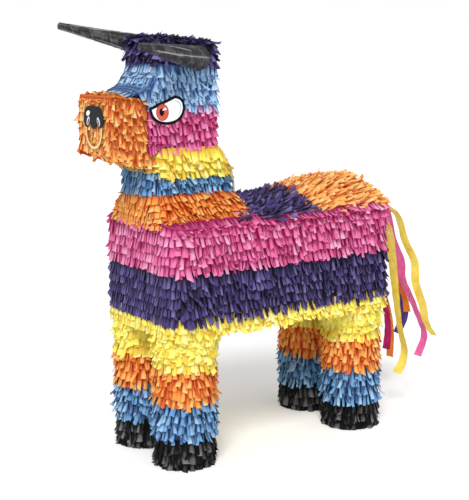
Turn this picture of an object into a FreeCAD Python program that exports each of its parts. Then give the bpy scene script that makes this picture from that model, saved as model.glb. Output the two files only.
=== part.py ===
"""Bull pinata: a card body on four tubes, covered with rows of cut tissue paper.

Frame: millimetres, +Z up, the bull faces -Y and its left flank is on +X.
The origin is on the floor, midway between the four feet.
"""
import FreeCAD, Part
import math
import os
import re

import Sketcher
from FreeCAD import Placement, Rotation, Vector

DIMENSIONS = {
    # card and tissue
    "card": 2.5, "fringe": 4.5, "thin_card": 1.2, "crepe": 0.8, "sticker": 0.6, "slit": 0.4,
    # barrel of the body
    "body_half_width": 82.5, "body_half_length": 166.5, "body_corner": 22.0,
    "belly_height": 167.0, "flank_top": 290.0, "loft_floor": 120.0, "over_all": 380.0,
    "purple_bottom": 177.5, "pink_bottom": 238.0, "saddle_end": 52.0, "end_margin": 10.0,
    # crown of the back, station by station from chest to rump
    "crown_chest": 299.0, "crown_withers": 304.0, "crown_saddle": 306.5,
    "crown_loin": 319.0, "crown_croup": 327.0, "crown_rump": 328.5, "crown_tail": 312.0,
    # legs
    "leg_side": 47.25, "leg_fore": 131.0, "tube_radius": 35.0,
    "black_top": 36.0, "blue_top": 79.0, "orange_top": 121.0, "foot_clear": 1.0,
    # neck
    "neck_half_width": 37.5, "neck_front": -166.5, "neck_rear": -56.0, "neck_corner": 18.0,
    "neck_orange_top": 327.0, "neck_blue_top": 343.0, "neck_top": 372.0, "nape_height": 350.0,
    "nape_front": -79.5,
    # head
    "head_half_width": 36.5, "head_rear": -79.5, "head_front": -156.5, "jaw_front": -168.0,
    "crown_rear_height": 503.0, "crown_front_height": 510.0, "brow_height": 473.0,
    "bridge_height": 442.0, "purple_crown_bottom": 476.0, "cheek_top": 425.0,
    # snout
    "snout_half_width": 33.5, "snout_front": -219.0, "snout_top_rear": 436.0,
    "snout_top_front": 442.0, "snout_low_front": 380.0, "snout_low_rear": 362.0,
    # horns
    "horn_base_radius": 16.0, "horn_tip_radius": 3.6, "horn_base_side": 47.0,
    "horn_base_fore": -107.0, "horn_tip_side": 100.0, "horn_tip_fore": -216.0,
    "left_horn_base_height": 484.0, "left_horn_tip_height": 499.0,
    "right_horn_base_height": 494.0, "right_horn_tip_height": 524.0,
    # fill hole and its flap, in the right flank
    "flap_half_length": 40.0, "flap_bottom": 184.0, "flap_top": 232.0, "flap_fringe_drop": 5.0,
    # hanging loop
    "cord_radius": 1.6, "loop_side": 25.0, "loop_fore": -44.0, "cord_hole_radius": 2.2,
    "knot_radius": 5.0, "knot_height": 295.0, "stub_top": 309.3,
    # tail
    "tail_strip_left": 51.0, "tail_strip_right": -41.0, "tail_strip_front": 171.5,
    "tail_strip_bottom": 270.0, "tail_strip_top": 290.0, "tail_card": 1.5,
    "streamer_width": 12.0, "streamer_thickness": 0.8, "streamer_root": 281.0,
    # nose sticker: a nose and the flat ring below it
    "nose_height": 419.0, "nose_half_width": 23.0, "nose_half_height": 12.5,
    "ring_height": 404.0, "ring_half_width": 17.0, "ring_half_height": 20.0, "ring_band": 3.0,
}

# stations along the barrel, front to rear, and the crown height at each
BACK_STATIONS = ((-50.0, "crown_withers"), (8.0, "crown_saddle"), (58.0, "crown_loin"),
                 (100.0, "crown_croup"), (143.0, "crown_rump"))

# corners of an eye sticker and a point on each bowed side between them, as (y, z)
EYE_INNER, EYE_PEAK, EYE_BACK, EYE_LOW = (-172.0, 429.0), (-138.0, 443.0), (-124.0, 427.0), (-148.0, 410.0)
EYE_PEAK_BOW, EYE_BACK_BOW, EYE_LOW_BOW = (-127.5, 438.0), (-132.5, 414.5), (-164.0, 415.5)

# the share of a run that the arc at each of its ends takes up, and the hanging loop's route as (x, y, z)
BEND_SHARE = 0.45
LOOP_ROUTE = ((25, -44, 311.6), (27, -44.5, 327), (27.6, -47, 343), (26.5, -52, 358.5), (20.5, -56.5, 372),
              (8, -59.5, 380.5), (-8, -59.5, 380.5), (-20.5, -56.5, 372), (-26.5, -52, 358.5),
              (-27.6, -47, 343), (-27, -44.5, 327), (-25, -44, 311.6))

# each streamer's lane across the tail strip, and its route behind the strip as (y, z)
STREAMERS = {
    "streamer_yellow_long": (5, [(200, 287), (228, 282), (252, 264), (266, 228), (284, 196), (286, 166),
                                 (300, 132), (308, 104), (325, 82)]),
    "streamer_pink_long": (31, [(186, 292), (204, 278), (217, 240), (236, 206), (240, 180), (256, 152),
                                (272, 120), (282, 94), (268, 66)]),
    "streamer_orange_mid": (18, [(192, 284), (212, 258), (228, 216), (238, 182), (258, 148), (262, 128)]),
    "streamer_yellow_short": (44, [(184, 277), (196, 252), (204, 206), (212, 158), (222, 116), (234, 84),
                                   (232, 64), (221, 50)]),
    "streamer_purple": (-8, [(194, 280), (222, 252), (246, 208), (262, 168), (276, 134), (279, 112),
                             (268, 90)]),
    "streamer_magenta": (-21, [(190, 276), (216, 238), (238, 186), (252, 136), (257, 100), (256, 66)]),
    "streamer_orange_rear": (-34, [(188, 272), (216, 230), (244, 176), (264, 128), (274, 88), (278, 48)]),
}

doc = FreeCAD.newDocument("bull_pinata")
sheet = doc.addObject("Spreadsheet::Sheet", "Dimensions")
for row, (alias, amount) in enumerate(DIMENSIONS.items(), start=1):
    sheet.set(f"A{row}", alias)
    sheet.set(f"B{row}", str(amount))
    sheet.setAlias(f"B{row}", alias)
doc.recompute()

nodes = []
FLIP = str.maketrans("+-", "-+")


# ---------------------------------------------------------------- helpers
def size(alias):
    """Number in the sheet's cell of that alias."""
    return float(sheet.get(alias))


def total(text):
    """Number that a sum of aliases and plain numbers comes to."""
    amount = 0.0
    for term in text.replace(" ", "").replace("-", "+-").split("+"):
        if term:
            word = term.lstrip("-")
            part = size(word) if word in DIMENSIONS else float(word)
            amount += -part if term.startswith("-") else part
    return amount


def bind(thing, target, text):
    """Bind a property to a sum of aliases; a leading minus is taken from zero."""
    named = re.sub(r"[a-z]\w*", lambda found: "Dimensions." + found.group(), text)
    thing.setExpression(target, "0 " + named if text.startswith("-") else named)


def bind_place(thing, across, along, up):
    """Bind the three coordinates of a thing's place."""
    for axis, text in zip("xyz", (across, along, up)):
        bind(thing, "Placement.Base." + axis, text)


def node(name, thing):
    """Take a finished sub-part into the list of those that are written."""
    thing.Label = name
    nodes.append((name, thing))
    return thing


def rounded_prism(name, half_width, front, rear, corner, bottom, top):
    """Upright prism on a rectangle with rounded corners."""
    sketch = doc.addObject("Sketcher::SketchObject", name + "_outline")
    right, near, far, radius = (total(text) for text in (half_width, front, rear, corner))
    centres = [(right - radius, far - radius), (radius - right, far - radius),
               (radius - right, near + radius), (right - radius, near + radius)]
    for quarter, (across, along) in enumerate(centres):
        circle = Part.Circle(Vector(across, along, 0), Vector(0, 0, 1), radius)
        start = quarter * math.pi / 2
        sketch.addGeometry(Part.ArcOfCircle(circle, start, start + math.pi / 2))
    for quarter in range(4):
        start = sketch.Geometry[quarter].EndPoint
        end = sketch.Geometry[(quarter + 1) % 4].StartPoint
        sketch.addGeometry(Part.LineSegment(start, end))
    for quarter in range(4):
        line = 4 + quarter
        sketch.addConstraint(Sketcher.Constraint("Tangent", quarter, 2, line, 1))
        sketch.addConstraint(Sketcher.Constraint("Tangent", line, 2, (quarter + 1) % 4, 1))
        level = "Horizontal" if quarter % 2 == 0 else "Vertical"
        sketch.addConstraint(Sketcher.Constraint(level, line))
    for quarter in range(1, 4):
        sketch.addConstraint(Sketcher.Constraint("Equal", 0, quarter))
    driven = [("Radius", (0,), corner), ("DistanceX", (-1, 1, 7, 1), half_width),
              ("DistanceX", (-1, 1, 5, 1), "-" + half_width.translate(FLIP)),
              ("DistanceY", (-1, 1, 4, 1), rear), ("DistanceY", (-1, 1, 6, 1), front)]
    for count, (kind, where, text) in enumerate(driven):
        index = sketch.addConstraint(Sketcher.Constraint(kind, *where, total(text)))
        sketch.renameConstraint(index, f"size_{count}")
        bind(sketch, f"Constraints.size_{count}", text)
    bind(sketch, "Placement.Base.z", bottom)
    return extrusion(name, sketch, f"{top} - ({bottom})")


def profile_prism(name, corners, half_width):
    """Prism across the body on a side outline, given as (y, z) sums."""
    sketch = doc.addObject("Sketcher::SketchObject", name + "_outline")
    points = [Vector(total(along), total(up), 0) for along, up in corners]
    count = len(points)
    for index in range(count):
        sketch.addGeometry(Part.LineSegment(points[index], points[(index + 1) % count]))
    for index in range(count):
        sketch.addConstraint(Sketcher.Constraint("Coincident", index, 2, (index + 1) % count, 1))
    for index, (along, up) in enumerate(corners):
        for kind, letter, text in (("DistanceX", "y", along), ("DistanceY", "z", up)):
            where = sketch.addConstraint(Sketcher.Constraint(kind, -1, 1, index, 1, total(text)))
            sketch.renameConstraint(where, f"{letter}_{index}")
            bind(sketch, f"Constraints.{letter}_{index}", text)
    sketch.Placement = Placement(Vector(), Rotation(Vector(1, 1, 1), 120))
    solid = extrusion(name, sketch, f"2 * ({half_width})")
    solid.Symmetric = True
    return solid


def extrusion(name, sketch, length):
    """Solid pulled from a closed sketch along its normal."""
    solid = doc.addObject("Part::Extrusion", name)
    solid.Base = sketch
    solid.DirMode = "Normal"
    solid.Solid = True
    bind(solid, "LengthFwd", length)
    return solid


def box(name, left, near, bottom, width, length, height):
    """Block from its low corner and its three sizes."""
    block = doc.addObject("Part::Box", name)
    bind_place(block, left, near, bottom)
    for target, text in (("Length", width), ("Width", length), ("Height", height)):
        bind(block, target, text)
    return block


def cylinder(name, radius, height, across, along, bottom):
    """Upright cylinder."""
    rod = doc.addObject("Part::Cylinder", name)
    bind(rod, "Radius", radius)
    bind(rod, "Height", height)
    bind_place(rod, across, along, bottom)
    return rod


def cut(name, base, tool):
    """Base with the tool taken away."""
    result = doc.addObject("Part::Cut", name)
    result.Base = base
    result.Tool = tool
    return result


def common(name, *shapes):
    """What all the shapes share."""
    result = doc.addObject("Part::MultiCommon", name)
    result.Shapes = list(shapes)
    return result


def fuse(name, *shapes):
    """All the shapes as one."""
    result = doc.addObject("Part::MultiFuse", name)
    result.Shapes = list(shapes)
    return result


def feature(name, shape):
    """Shape made with Part's own functions."""
    thing = doc.addObject("Part::Feature", name)
    thing.Shape = shape
    return thing


def ring(name, inner, outer, across, along, bottom, height):
    """Upright tube."""
    return cut(name, cylinder(name + "_outside", outer, height, across, along, bottom),
               cylinder(name + "_inside", inner, height, across, along, bottom))


# ---------------------------------------------------------------- the arched back
def arch_section(along, crown, growth):
    """Closed wire of everything under the back at one station."""
    rise = crown - size("flank_top")
    half = size("body_half_width")
    radius = (half * half + rise * rise) / (2 * rise)
    centre = crown - radius
    edge = half + size("fringe") + size("end_margin")
    radius += growth
    height = centre + math.sqrt(radius * radius - edge * edge)
    left, right = Vector(-edge, along, height), Vector(edge, along, height)
    top = Vector(0, along, centre + radius)
    low_left, low_right = (Vector(side, along, size("loft_floor")) for side in (-edge, edge))
    edges = [Part.Arc(left, top, right), Part.LineSegment(right, low_right),
             Part.LineSegment(low_right, low_left), Part.LineSegment(low_left, left)]
    return Part.Wire([piece.toShape() for piece in edges])


def under_back(name, growth):
    """Solid below the back's surface, grown outwards by a skin."""
    reach = size("body_half_length") + size("end_margin")
    stations = [(-reach, "crown_chest"), *BACK_STATIONS, (reach, "crown_tail")]
    wires = [arch_section(along, size(crown), growth) for along, crown in stations]
    return feature(name, Part.makeLoft(wires, True, True))


under_card = under_back("under_card", -size("card"))
under_tissue = under_back("under_tissue", 0.0)
under_air = under_back("under_air", size("fringe"))


# ---------------------------------------------------------------- card body
def body_prism(name, growth, bottom, top):
    """Prism on the body's rounded outline, grown by the given sum."""
    return rounded_prism(name, "body_half_width" + growth, "-body_half_length" + growth.translate(FLIP),
                         "body_half_length" + growth, "body_corner" + growth, bottom, top)


body_block = body_prism("body_block", "", "belly_height", "over_all")
body_hollow = body_prism("body_hollow", " - card", "belly_height", "over_all")
wall_ring = common("wall_ring", cut("wall_prism", body_block, body_hollow), under_card)

left_side = box("left_side", "0", "-body_half_length + body_corner", "loft_floor", "body_half_width + 20",
                "2 * (body_half_length - body_corner)", "over_all")
right_side = box("right_side", "-body_half_width - 20", "-body_half_length + body_corner", "loft_floor",
                 "body_half_width + 20", "2 * (body_half_length - body_corner)", "over_all")
chest_end = box("chest_end", "-body_half_width - 20", "-body_half_length - 20", "loft_floor",
                "2 * (body_half_width + 20)", "body_corner + 20", "over_all")
rump_end = box("rump_end", "-body_half_width - 20", "body_half_length - body_corner", "loft_floor",
               "2 * (body_half_width + 20)", "body_corner + 20", "over_all")
fill_hole = box("fill_hole", "-body_half_width - 20", "-flap_half_length", "flap_bottom", "40",
                "2 * flap_half_length", "flap_top - flap_bottom")

node("left_flank_panel", common("left_flank_panel", wall_ring, left_side))
node("right_flank_panel", cut("right_flank_panel", common("right_flank", wall_ring, right_side), fill_hole))
node("chest_panel", common("chest_panel", wall_ring, chest_end))
node("rump_panel", common("rump_panel", wall_ring, rump_end))
node("belly_panel", body_prism("belly_panel", " - card", "belly_height", "belly_height + card"))

cord_holes = fuse("cord_holes", *[
    cylinder("cord_hole_" + side, "cord_hole_radius", "60", sign + "loop_side", "loop_fore", "280")
    for side, sign in (("left", ""), ("right", "-"))])
back_layer = cut("back_layer", under_tissue, under_card)
node("back_panel", cut("back_panel", common("back_sheet", body_block, back_layer), cord_holes))

# the fill flap: a piece of the flank cut on three sides and creased along its top
flap_length = "2 * (flap_half_length - slit)"
node("fill_flap", box("fill_flap", "-body_half_width", "-flap_half_length + slit", "flap_bottom + slit",
                      "card", flap_length, "flap_top - flap_bottom - 2 * slit"))
node("fill_flap_fringe", box("fill_flap_fringe", "-body_half_width - fringe", "-flap_half_length + slit",
                             "flap_bottom + slit", "fringe", flap_length,
                             "flap_top - flap_bottom - flap_fringe_drop"))

# ---------------------------------------------------------------- tissue on the body
tissue_block = body_prism("tissue_block", " + fringe", "belly_height - fringe", "over_all")
body_cover = common("body_cover", cut("tissue_ring", tissue_block, body_block), under_air)


def slab(name, bottom, top):
    """Level slice as wide as the whole object."""
    return box(name, "-150", "-300", bottom, "300", "600", f"{top} - ({bottom})")


def span(name, near, far):
    """Upright slice across the body from one y to another."""
    return box(name, "-150", near, "loft_floor", "300", f"{far} - ({near})", "over_all")


legs = [("front_left", "leg_side", "-leg_fore"), ("front_right", "-leg_side", "-leg_fore"),
        ("rear_left", "leg_side", "leg_fore"), ("rear_right", "-leg_side", "leg_fore")]
leg_cores = fuse("leg_cores", *[cylinder("core_" + name, "tube_radius", "belly_height", across, along, "0")
                                for name, across, along in legs])
node("pink_body_fringe", common("pink_body_fringe", body_cover, slab("pink_slab", "pink_bottom", "over_all")))
node("purple_body_fringe", cut("purple_body_fringe", common(
    "purple_ring", body_cover, slab("purple_slab", "purple_bottom", "pink_bottom")), fill_hole))
node("yellow_belly_fringe", cut("yellow_belly_fringe", common(
    "yellow_tray", body_cover, slab("yellow_slab", "belly_height - fringe", "purple_bottom")), leg_cores))

neck_block = rounded_prism("neck_block", "neck_half_width", "neck_front", "neck_rear", "neck_corner",
                           "flank_top - 10", "neck_top")
top_layer = common("top_layer", cut("top_cover", under_air, under_tissue), body_block)
node("saddle_fringe", cut("saddle_fringe", common(
    "saddle_layer", top_layer, span("saddle_span", "neck_rear", "saddle_end")), cord_holes))
node("rump_fringe", common("rump_fringe", top_layer, span("rump_span", "saddle_end", "body_half_length")))
skirt = cut("skirt", common("skirt_layer", top_layer, span("skirt_span", "-body_half_length", "neck_rear")),
            neck_block)

# ---------------------------------------------------------------- legs
feet = []
for name, across, along in legs:
    node("leg_tube_" + name, ring("leg_tube_" + name, "tube_radius - card", "tube_radius", across, along,
                                  "card", "belly_height - card"))
    bands = (("foot_black", "foot_clear", "black_top"), ("shin_blue", "black_top", "blue_top"),
             ("knee_orange", "blue_top", "orange_top"),
             ("thigh_yellow", "orange_top", "belly_height - fringe"))
    for band, bottom, top in bands:
        label = f"{band}_fringe_{name}"
        node(label, ring(label, "tube_radius", "tube_radius + fringe", across, along, bottom,
                         f"{top} - ({bottom})"))
    feet.append(cylinder("foot_disc_" + name, "tube_radius", "card", across, along, "0"))
node("foot_caps", fuse("foot_caps", *feet))

# ---------------------------------------------------------------- room for the snout
def snout_profile(out, rear):
    """Side outline of the snout, moved outwards by the given sum."""
    back = out.translate(FLIP)
    return [(rear, "snout_low_rear" + back), (rear, "snout_top_rear" + out),
            ("snout_front" + back, "snout_top_front" + out), ("snout_front" + back, "snout_low_front" + back)]


snout_cover = profile_prism("snout_cover", snout_profile(" + fringe", "jaw_front"),
                            "snout_half_width + fringe")

# ---------------------------------------------------------------- neck
neck_hollow = rounded_prism("neck_hollow", "neck_half_width - card", "neck_front + card", "neck_rear - card",
                            "neck_corner - card", "flank_top - 10", "neck_top")
neck_cover = rounded_prism("neck_cover", "neck_half_width + fringe", "neck_front - fringe",
                           "neck_rear + fringe", "neck_corner + fringe", "flank_top - 10", "neck_top")


def nape(name, growth):
    """Wedge that slopes the neck's top down towards the back."""
    return profile_prism(name, [("nape_front" + growth, "neck_top + 30"), ("nape_front" + growth, "neck_top"),
                                ("neck_rear" + growth, "nape_height"), ("0", "nape_height"),
                                ("0", "neck_top + 30")], "neck_half_width + 30")


def neck_stack(name, prism, wedge, floor):
    """Neck prism trimmed to the back below and to the nape above."""
    return cut(name, cut(name + "_trimmed", prism, wedge), floor)


nape_card = nape("nape_card", "")
nape_tissue = nape("nape_tissue", " + fringe")
neck_wall = cut("neck_wall", neck_block, neck_hollow)
node("neck_tube", neck_stack("neck_tube", neck_wall, nape_card, under_tissue))
neck_skin = cut("neck_skin", neck_cover, neck_block)
neck_wrap = neck_stack("neck_wrap", neck_skin, nape_tissue, under_air)
node("neck_orange_fringe", fuse("neck_orange_fringe", skirt, common(
    "neck_orange_ring", neck_wrap, slab("neck_orange_slab", "flank_top - 10", "neck_orange_top"))))
node("neck_blue_fringe", common("neck_blue_fringe", neck_wrap,
                                slab("neck_blue_slab", "neck_orange_top", "neck_blue_top")))
node("collar_yellow_fringe", cut("collar_yellow_fringe", common(
    "collar_ring", neck_wrap, slab("collar_slab", "neck_blue_top", "neck_top")), snout_cover))


# ---------------------------------------------------------------- head
def head_profile(out):
    """Side outline of the head, moved outwards by the given sum."""
    back = out.translate(FLIP)
    return [("head_rear" + out, "neck_top"), ("head_rear" + out, "crown_rear_height" + out),
            ("head_front" + back, "crown_front_height" + out), ("head_front" + back, "brow_height"),
            ("jaw_front" + back, "bridge_height"), ("jaw_front" + back, "neck_top")]


head_block = profile_prism("head_block", head_profile(""), "head_half_width")
head_hollow = profile_prism("head_hollow", head_profile(" - card")[1:-1] + [
    ("jaw_front + card", "neck_top - 5"), ("head_rear - card", "neck_top - 5")], "head_half_width - card")
node("head_shell", cut("head_shell", head_block, head_hollow))
head_cover = profile_prism("head_cover", head_profile(" + fringe"), "head_half_width + fringe")
head_skin = cut("head_skin", head_cover, head_block)
node("cheek_pink_fringe", cut("cheek_pink_fringe", common(
    "cheek_ring", head_skin, slab("cheek_slab", "neck_top", "cheek_top")), snout_cover))
node("brow_blue_fringe", cut("brow_blue_fringe", common(
    "brow_ring", head_skin, slab("brow_slab", "cheek_top", "purple_crown_bottom")), snout_cover))
node("crown_purple_fringe", common("crown_purple_fringe", head_skin,
                                   slab("crown_slab", "purple_crown_bottom", "over_all + over_all")))


snout_block = profile_prism("snout_block", snout_profile("", "jaw_front"), "snout_half_width")
snout_hollow = profile_prism("snout_hollow", snout_profile(" - card", "jaw_front + card + card"),
                             "snout_half_width - card")
node("snout_shell", cut("snout_shell", snout_block, snout_hollow))
node("snout_orange_fringe", cut("snout_orange_fringe", snout_cover, snout_block))

# ---------------------------------------------------------------- horns
def horn_cone(name, base, tip, base_radius, tip_radius):
    """Cone frustum from base to tip."""
    cone = doc.addObject("Part::Cone", name)
    bind(cone, "Radius1", base_radius)
    bind(cone, "Radius2", tip_radius)
    cone.Height = (tip - base).Length
    cone.Placement = Placement(base, Rotation(Vector(0, 0, 1), tip - base))
    return cone


for side, sign in (("left", 1), ("right", -1)):
    base = Vector(sign * size("horn_base_side"), size("horn_base_fore"), size(side + "_horn_base_height"))
    tip = Vector(sign * size("horn_tip_side"), size("horn_tip_fore"), size(side + "_horn_tip_height"))
    outer = horn_cone(side + "_horn_outer", base, tip, "horn_base_radius", "horn_tip_radius")
    inner = horn_cone(side + "_horn_inner", base, tip, "horn_base_radius - thin_card",
                      "horn_tip_radius - thin_card")
    wrap = horn_cone(side + "_horn_wrap", base, tip, "horn_base_radius + crepe", "horn_tip_radius + crepe")
    node(side + "_horn_cone", cut(side + "_horn_cone", cut(side + "_horn_shell", outer, inner), head_cover))
    node(side + "_horn_cover", cut(side + "_horn_cover", cut(side + "_horn_skin", wrap, outer), head_cover))


# ---------------------------------------------------------------- printed stickers
def eye_outline(across):
    """Closed outline of an eye: a straight brow line and three bowed sides."""
    inner, peak, back, low, peak_bow, back_bow, low_bow = (Vector(across, *point) for point in (
        EYE_INNER, EYE_PEAK, EYE_BACK, EYE_LOW, EYE_PEAK_BOW, EYE_BACK_BOW, EYE_LOW_BOW))
    edges = [Part.LineSegment(inner, peak), Part.Arc(peak, peak_bow, back),
             Part.Arc(back, back_bow, low), Part.Arc(low, low_bow, inner)]
    return Part.Wire([edge.toShape() for edge in edges])


eye_plane = size("head_half_width") + size("fringe")
for side, sign in (("left", 1), ("right", -1)):
    plate = Part.Face(eye_outline(sign * eye_plane)).extrude(Vector(sign * size("sticker"), 0, 0))
    node(side + "_eye", feature(side + "_eye", plate))


def flat_ellipse(centre_height, half_width, half_height):
    """Elliptical plate that stands on the snout's front."""
    plane = size("snout_front") - size("fringe")
    side, top = Vector(half_width, 0, 0), Vector(0, half_height, 0)
    long_end, short_end = (side, top) if half_width > half_height else (top, side)
    curve = Part.Ellipse(long_end, short_end, Vector())
    plate = Part.Face(Part.Wire([curve.toShape()])).extrude(Vector(0, 0, size("sticker")))
    plate.Placement = Placement(Vector(0, plane, centre_height), Rotation(Vector(1, 0, 0), 90))
    return plate


def nose_sticker():
    """Nose with a flat ring that hangs below it, cut from one sheet."""
    height, half_width, half_height = size("ring_height"), size("ring_half_width"), size("ring_half_height")
    band = size("ring_band")
    ring_plate = flat_ellipse(height, half_width, half_height)
    ring_plate = ring_plate.cut(flat_ellipse(height, half_width - band, half_height - band))
    nose = flat_ellipse(size("nose_height"), size("nose_half_width"), size("nose_half_height"))
    return nose.fuse(ring_plate).removeSplitter()


node("nose_sticker", feature("nose_sticker", nose_sticker()))

# ---------------------------------------------------------------- hanging loop
def smooth_bend(before, corner, after):
    """Ends and middle of the arc that rounds a corner, and its radius."""
    arriving, leaving = corner - before, after - corner
    half_turn = arriving.getAngle(leaving) / 2
    setback = BEND_SHARE * min(arriving.Length, leaving.Length)
    radius = setback / math.tan(half_turn)
    arriving.normalize()
    leaving.normalize()
    bisector = (leaving - arriving).normalize()
    middle = corner + bisector * (radius / math.cos(half_turn) - radius)
    return corner - arriving * setback, middle, corner + leaving * setback, radius


def cord_path(points):
    """Straight runs joined by tangent arcs, each as large as its runs allow."""
    edges = []
    start = points[0]
    for before, corner, after in zip(points, points[1:], points[2:]):
        enter, middle, leave, radius = smooth_bend(before, corner, after)
        edges.append(Part.LineSegment(start, enter).toShape())
        edges.append(Part.Arc(enter, middle, leave).toShape())
        start = leave
        print(f"loop bend radius {radius:.1f} mm")
    edges.append(Part.LineSegment(start, points[-1]).toShape())
    return Part.Wire(edges)


def cord_tube(points, radius):
    """Round cord along the route."""
    path = cord_path(points)
    section = Part.Wire([Part.Circle(points[0], points[1] - points[0], radius).toShape()])
    tube = path.makePipeShell([section], True, False)
    print(f"loop length {path.Length:.1f} mm, volume {tube.Volume:.1f} mm3,"
          f" section times length {math.pi * radius ** 2 * path.Length:.1f} mm3")
    return tube


loop_points = [Vector(*point) for point in LOOP_ROUTE]
node("hanging_loop", feature("hanging_loop", cord_tube(loop_points, size("cord_radius"))))
knots = []
for side, sign in (("left", ""), ("right", "-")):
    knot = doc.addObject("Part::Sphere", "knot_" + side)
    bind(knot, "Radius", "knot_radius")
    bind_place(knot, sign + "loop_side", "loop_fore", "knot_height")
    knots += [knot, cylinder("knot_stub_" + side, "cord_radius", "stub_top - knot_height",
                             sign + "loop_side", "loop_fore", "knot_height")]
node("loop_knots", fuse("loop_knots", *knots))

# ---------------------------------------------------------------- tail
node("tail_strip", box("tail_strip", "tail_strip_right", "tail_strip_front", "tail_strip_bottom",
                       "tail_strip_left - tail_strip_right", "tail_card",
                       "tail_strip_top - tail_strip_bottom"))
tail_face = size("tail_strip_front") + size("tail_card")


def streamer_shape(lane, route):
    """Paper strip of constant thickness that leaves the tail strip and follows its route."""
    spine = [Vector(0, tail_face, size("streamer_root")), *[Vector(0, along, up) for along, up in route]]
    half = size("streamer_thickness") / 2
    upper, lower = [], []
    for index, point in enumerate(spine):
        ahead = spine[min(index + 1, len(spine) - 1)] - spine[max(index - 1, 0)]
        normal = Vector(0, -ahead.z, ahead.y).normalize() if index else Vector(0, 0, 1)
        upper.append(point + normal * half)
        lower.insert(0, point - normal * half)
    outline = Part.makePolygon([*upper, *lower, upper[0]])
    strip = Part.Face(outline).extrude(Vector(size("streamer_width"), 0, 0))
    strip.translate(Vector(lane - size("streamer_width") / 2, 0, 0))
    return strip


strips = {name: feature(name + "_strip", streamer_shape(lane, route))
          for name, (lane, route) in STREAMERS.items()}
node("streamers_orange", fuse("streamers_orange", strips.pop("streamer_orange_mid"),
                              strips.pop("streamer_orange_rear")))
for name, strip in strips.items():
    node(name, strip)

# ---------------------------------------------------------------- check and write
doc.recompute()
faults = [thing.Name for thing in doc.Objects if "Invalid" in thing.State or "Error" in thing.State]
faults += [name for name, thing in nodes
           if thing.Shape.isNull() or not thing.Shape.isValid() or not thing.Shape.Solids]
if faults:
    raise RuntimeError("failed objects: " + ", ".join(faults))
os.makedirs("parts", exist_ok=True)
for name, thing in nodes:
    thing.Shape.exportStep(f"parts/{name}.step")
    print(f"{name}: {len(thing.Shape.Solids)} solid(s), {thing.Shape.Volume / 1000:.2f} cm3")
print(len(nodes), "nodes")
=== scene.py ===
"""Bull pinata: rows of cut tissue, crepe horns, stickers and streamers over a card body.

Metres, +Z up, the bull faces -Y and its left flank is on +X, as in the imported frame.
"""
import functools
import logging
import math
from dataclasses import dataclass, field, replace
from enum import Enum
from typing import Any, Callable, Sequence

import bpy
import numpy as np
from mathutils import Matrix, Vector


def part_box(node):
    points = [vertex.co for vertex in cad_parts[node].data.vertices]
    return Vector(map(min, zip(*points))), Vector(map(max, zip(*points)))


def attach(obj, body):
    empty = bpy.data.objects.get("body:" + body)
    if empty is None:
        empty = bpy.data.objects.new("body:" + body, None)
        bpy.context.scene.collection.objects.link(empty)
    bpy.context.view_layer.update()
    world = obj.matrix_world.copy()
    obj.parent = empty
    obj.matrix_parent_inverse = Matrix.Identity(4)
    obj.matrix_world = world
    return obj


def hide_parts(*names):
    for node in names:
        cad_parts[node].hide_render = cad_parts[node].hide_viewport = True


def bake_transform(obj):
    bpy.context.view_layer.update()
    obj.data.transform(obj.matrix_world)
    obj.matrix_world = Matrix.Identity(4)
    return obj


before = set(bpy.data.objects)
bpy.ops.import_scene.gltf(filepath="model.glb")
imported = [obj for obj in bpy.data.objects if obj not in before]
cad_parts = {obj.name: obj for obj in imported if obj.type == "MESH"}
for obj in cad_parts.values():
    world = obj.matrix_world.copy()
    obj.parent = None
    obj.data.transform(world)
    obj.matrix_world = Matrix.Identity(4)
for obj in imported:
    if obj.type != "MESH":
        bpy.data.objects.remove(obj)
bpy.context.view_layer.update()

LOG = logging.getLogger("pinata")
MM = 0.001
Colour = tuple[float, float, float]
Region = Callable[[np.ndarray], np.ndarray]


def dye(red: int, green: int, blue: int) -> Colour:
    """Linear colour of a paper dye given on the usual 0 to 255 scale."""
    return tuple(((part / 255 + 0.055) / 1.055) ** 2.4 if part > 10 else part / 255 / 12.92
                 for part in (red, green, blue))


def unit(rows: np.ndarray) -> np.ndarray:
    """Vectors along the last axis, each made one long."""
    return rows / np.maximum(np.linalg.norm(rows, axis=-1, keepdims=True), 1e-9)


def join(*parts: Any) -> np.ndarray:
    """Rows made of the given numbers side by side, single ones repeated."""
    return np.stack(np.broadcast_arrays(*parts), axis=-1)


def smooth_share(values: np.ndarray | float, low: float, high: float) -> np.ndarray:
    """Share from 0 at low to 1 at high, eased at both ends; low may be over high."""
    share = np.clip((np.asarray(values, float) - low) / (high - low), 0, 1)
    return share * share * (3 - 2 * share)


class Body(Enum):
    """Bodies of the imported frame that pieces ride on."""

    CARCASS = "carcass"
    FLAP = "fill_flap"
    LOOP = "hanging_loop"
    TAIL = "tail"


# --- shader work
class Wire:
    """A number that runs through a shader tree and takes part in sums."""

    def __init__(self, bench: "Bench", socket: bpy.types.NodeSocket) -> None:
        """Hold the socket that the number comes out of."""
        self.bench = bench
        self.socket = socket

    def _sum(self, operation: str, first: Any, second: Any) -> "Wire":
        """Math node on two numbers, either of which may be plain."""
        made = self.bench.node("ShaderNodeMath", {"operation": operation}, {0: first, 1: second})
        return Wire(self.bench, made.outputs[0])

    def __add__(self, other: Any) -> "Wire":
        """Sum."""
        return self._sum("ADD", self, other)

    __radd__ = __add__

    def __sub__(self, other: Any) -> "Wire":
        """Difference."""
        return self._sum("SUBTRACT", self, other)

    def __rsub__(self, other: Any) -> "Wire":
        """Difference from a plain number."""
        return self._sum("SUBTRACT", other, self)

    def __mul__(self, other: Any) -> "Wire":
        """Product."""
        return self._sum("MULTIPLY", self, other)

    __rmul__ = __mul__

    def __pow__(self, other: Any) -> "Wire":
        """Power."""
        return self._sum("POWER", self, other)


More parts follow.
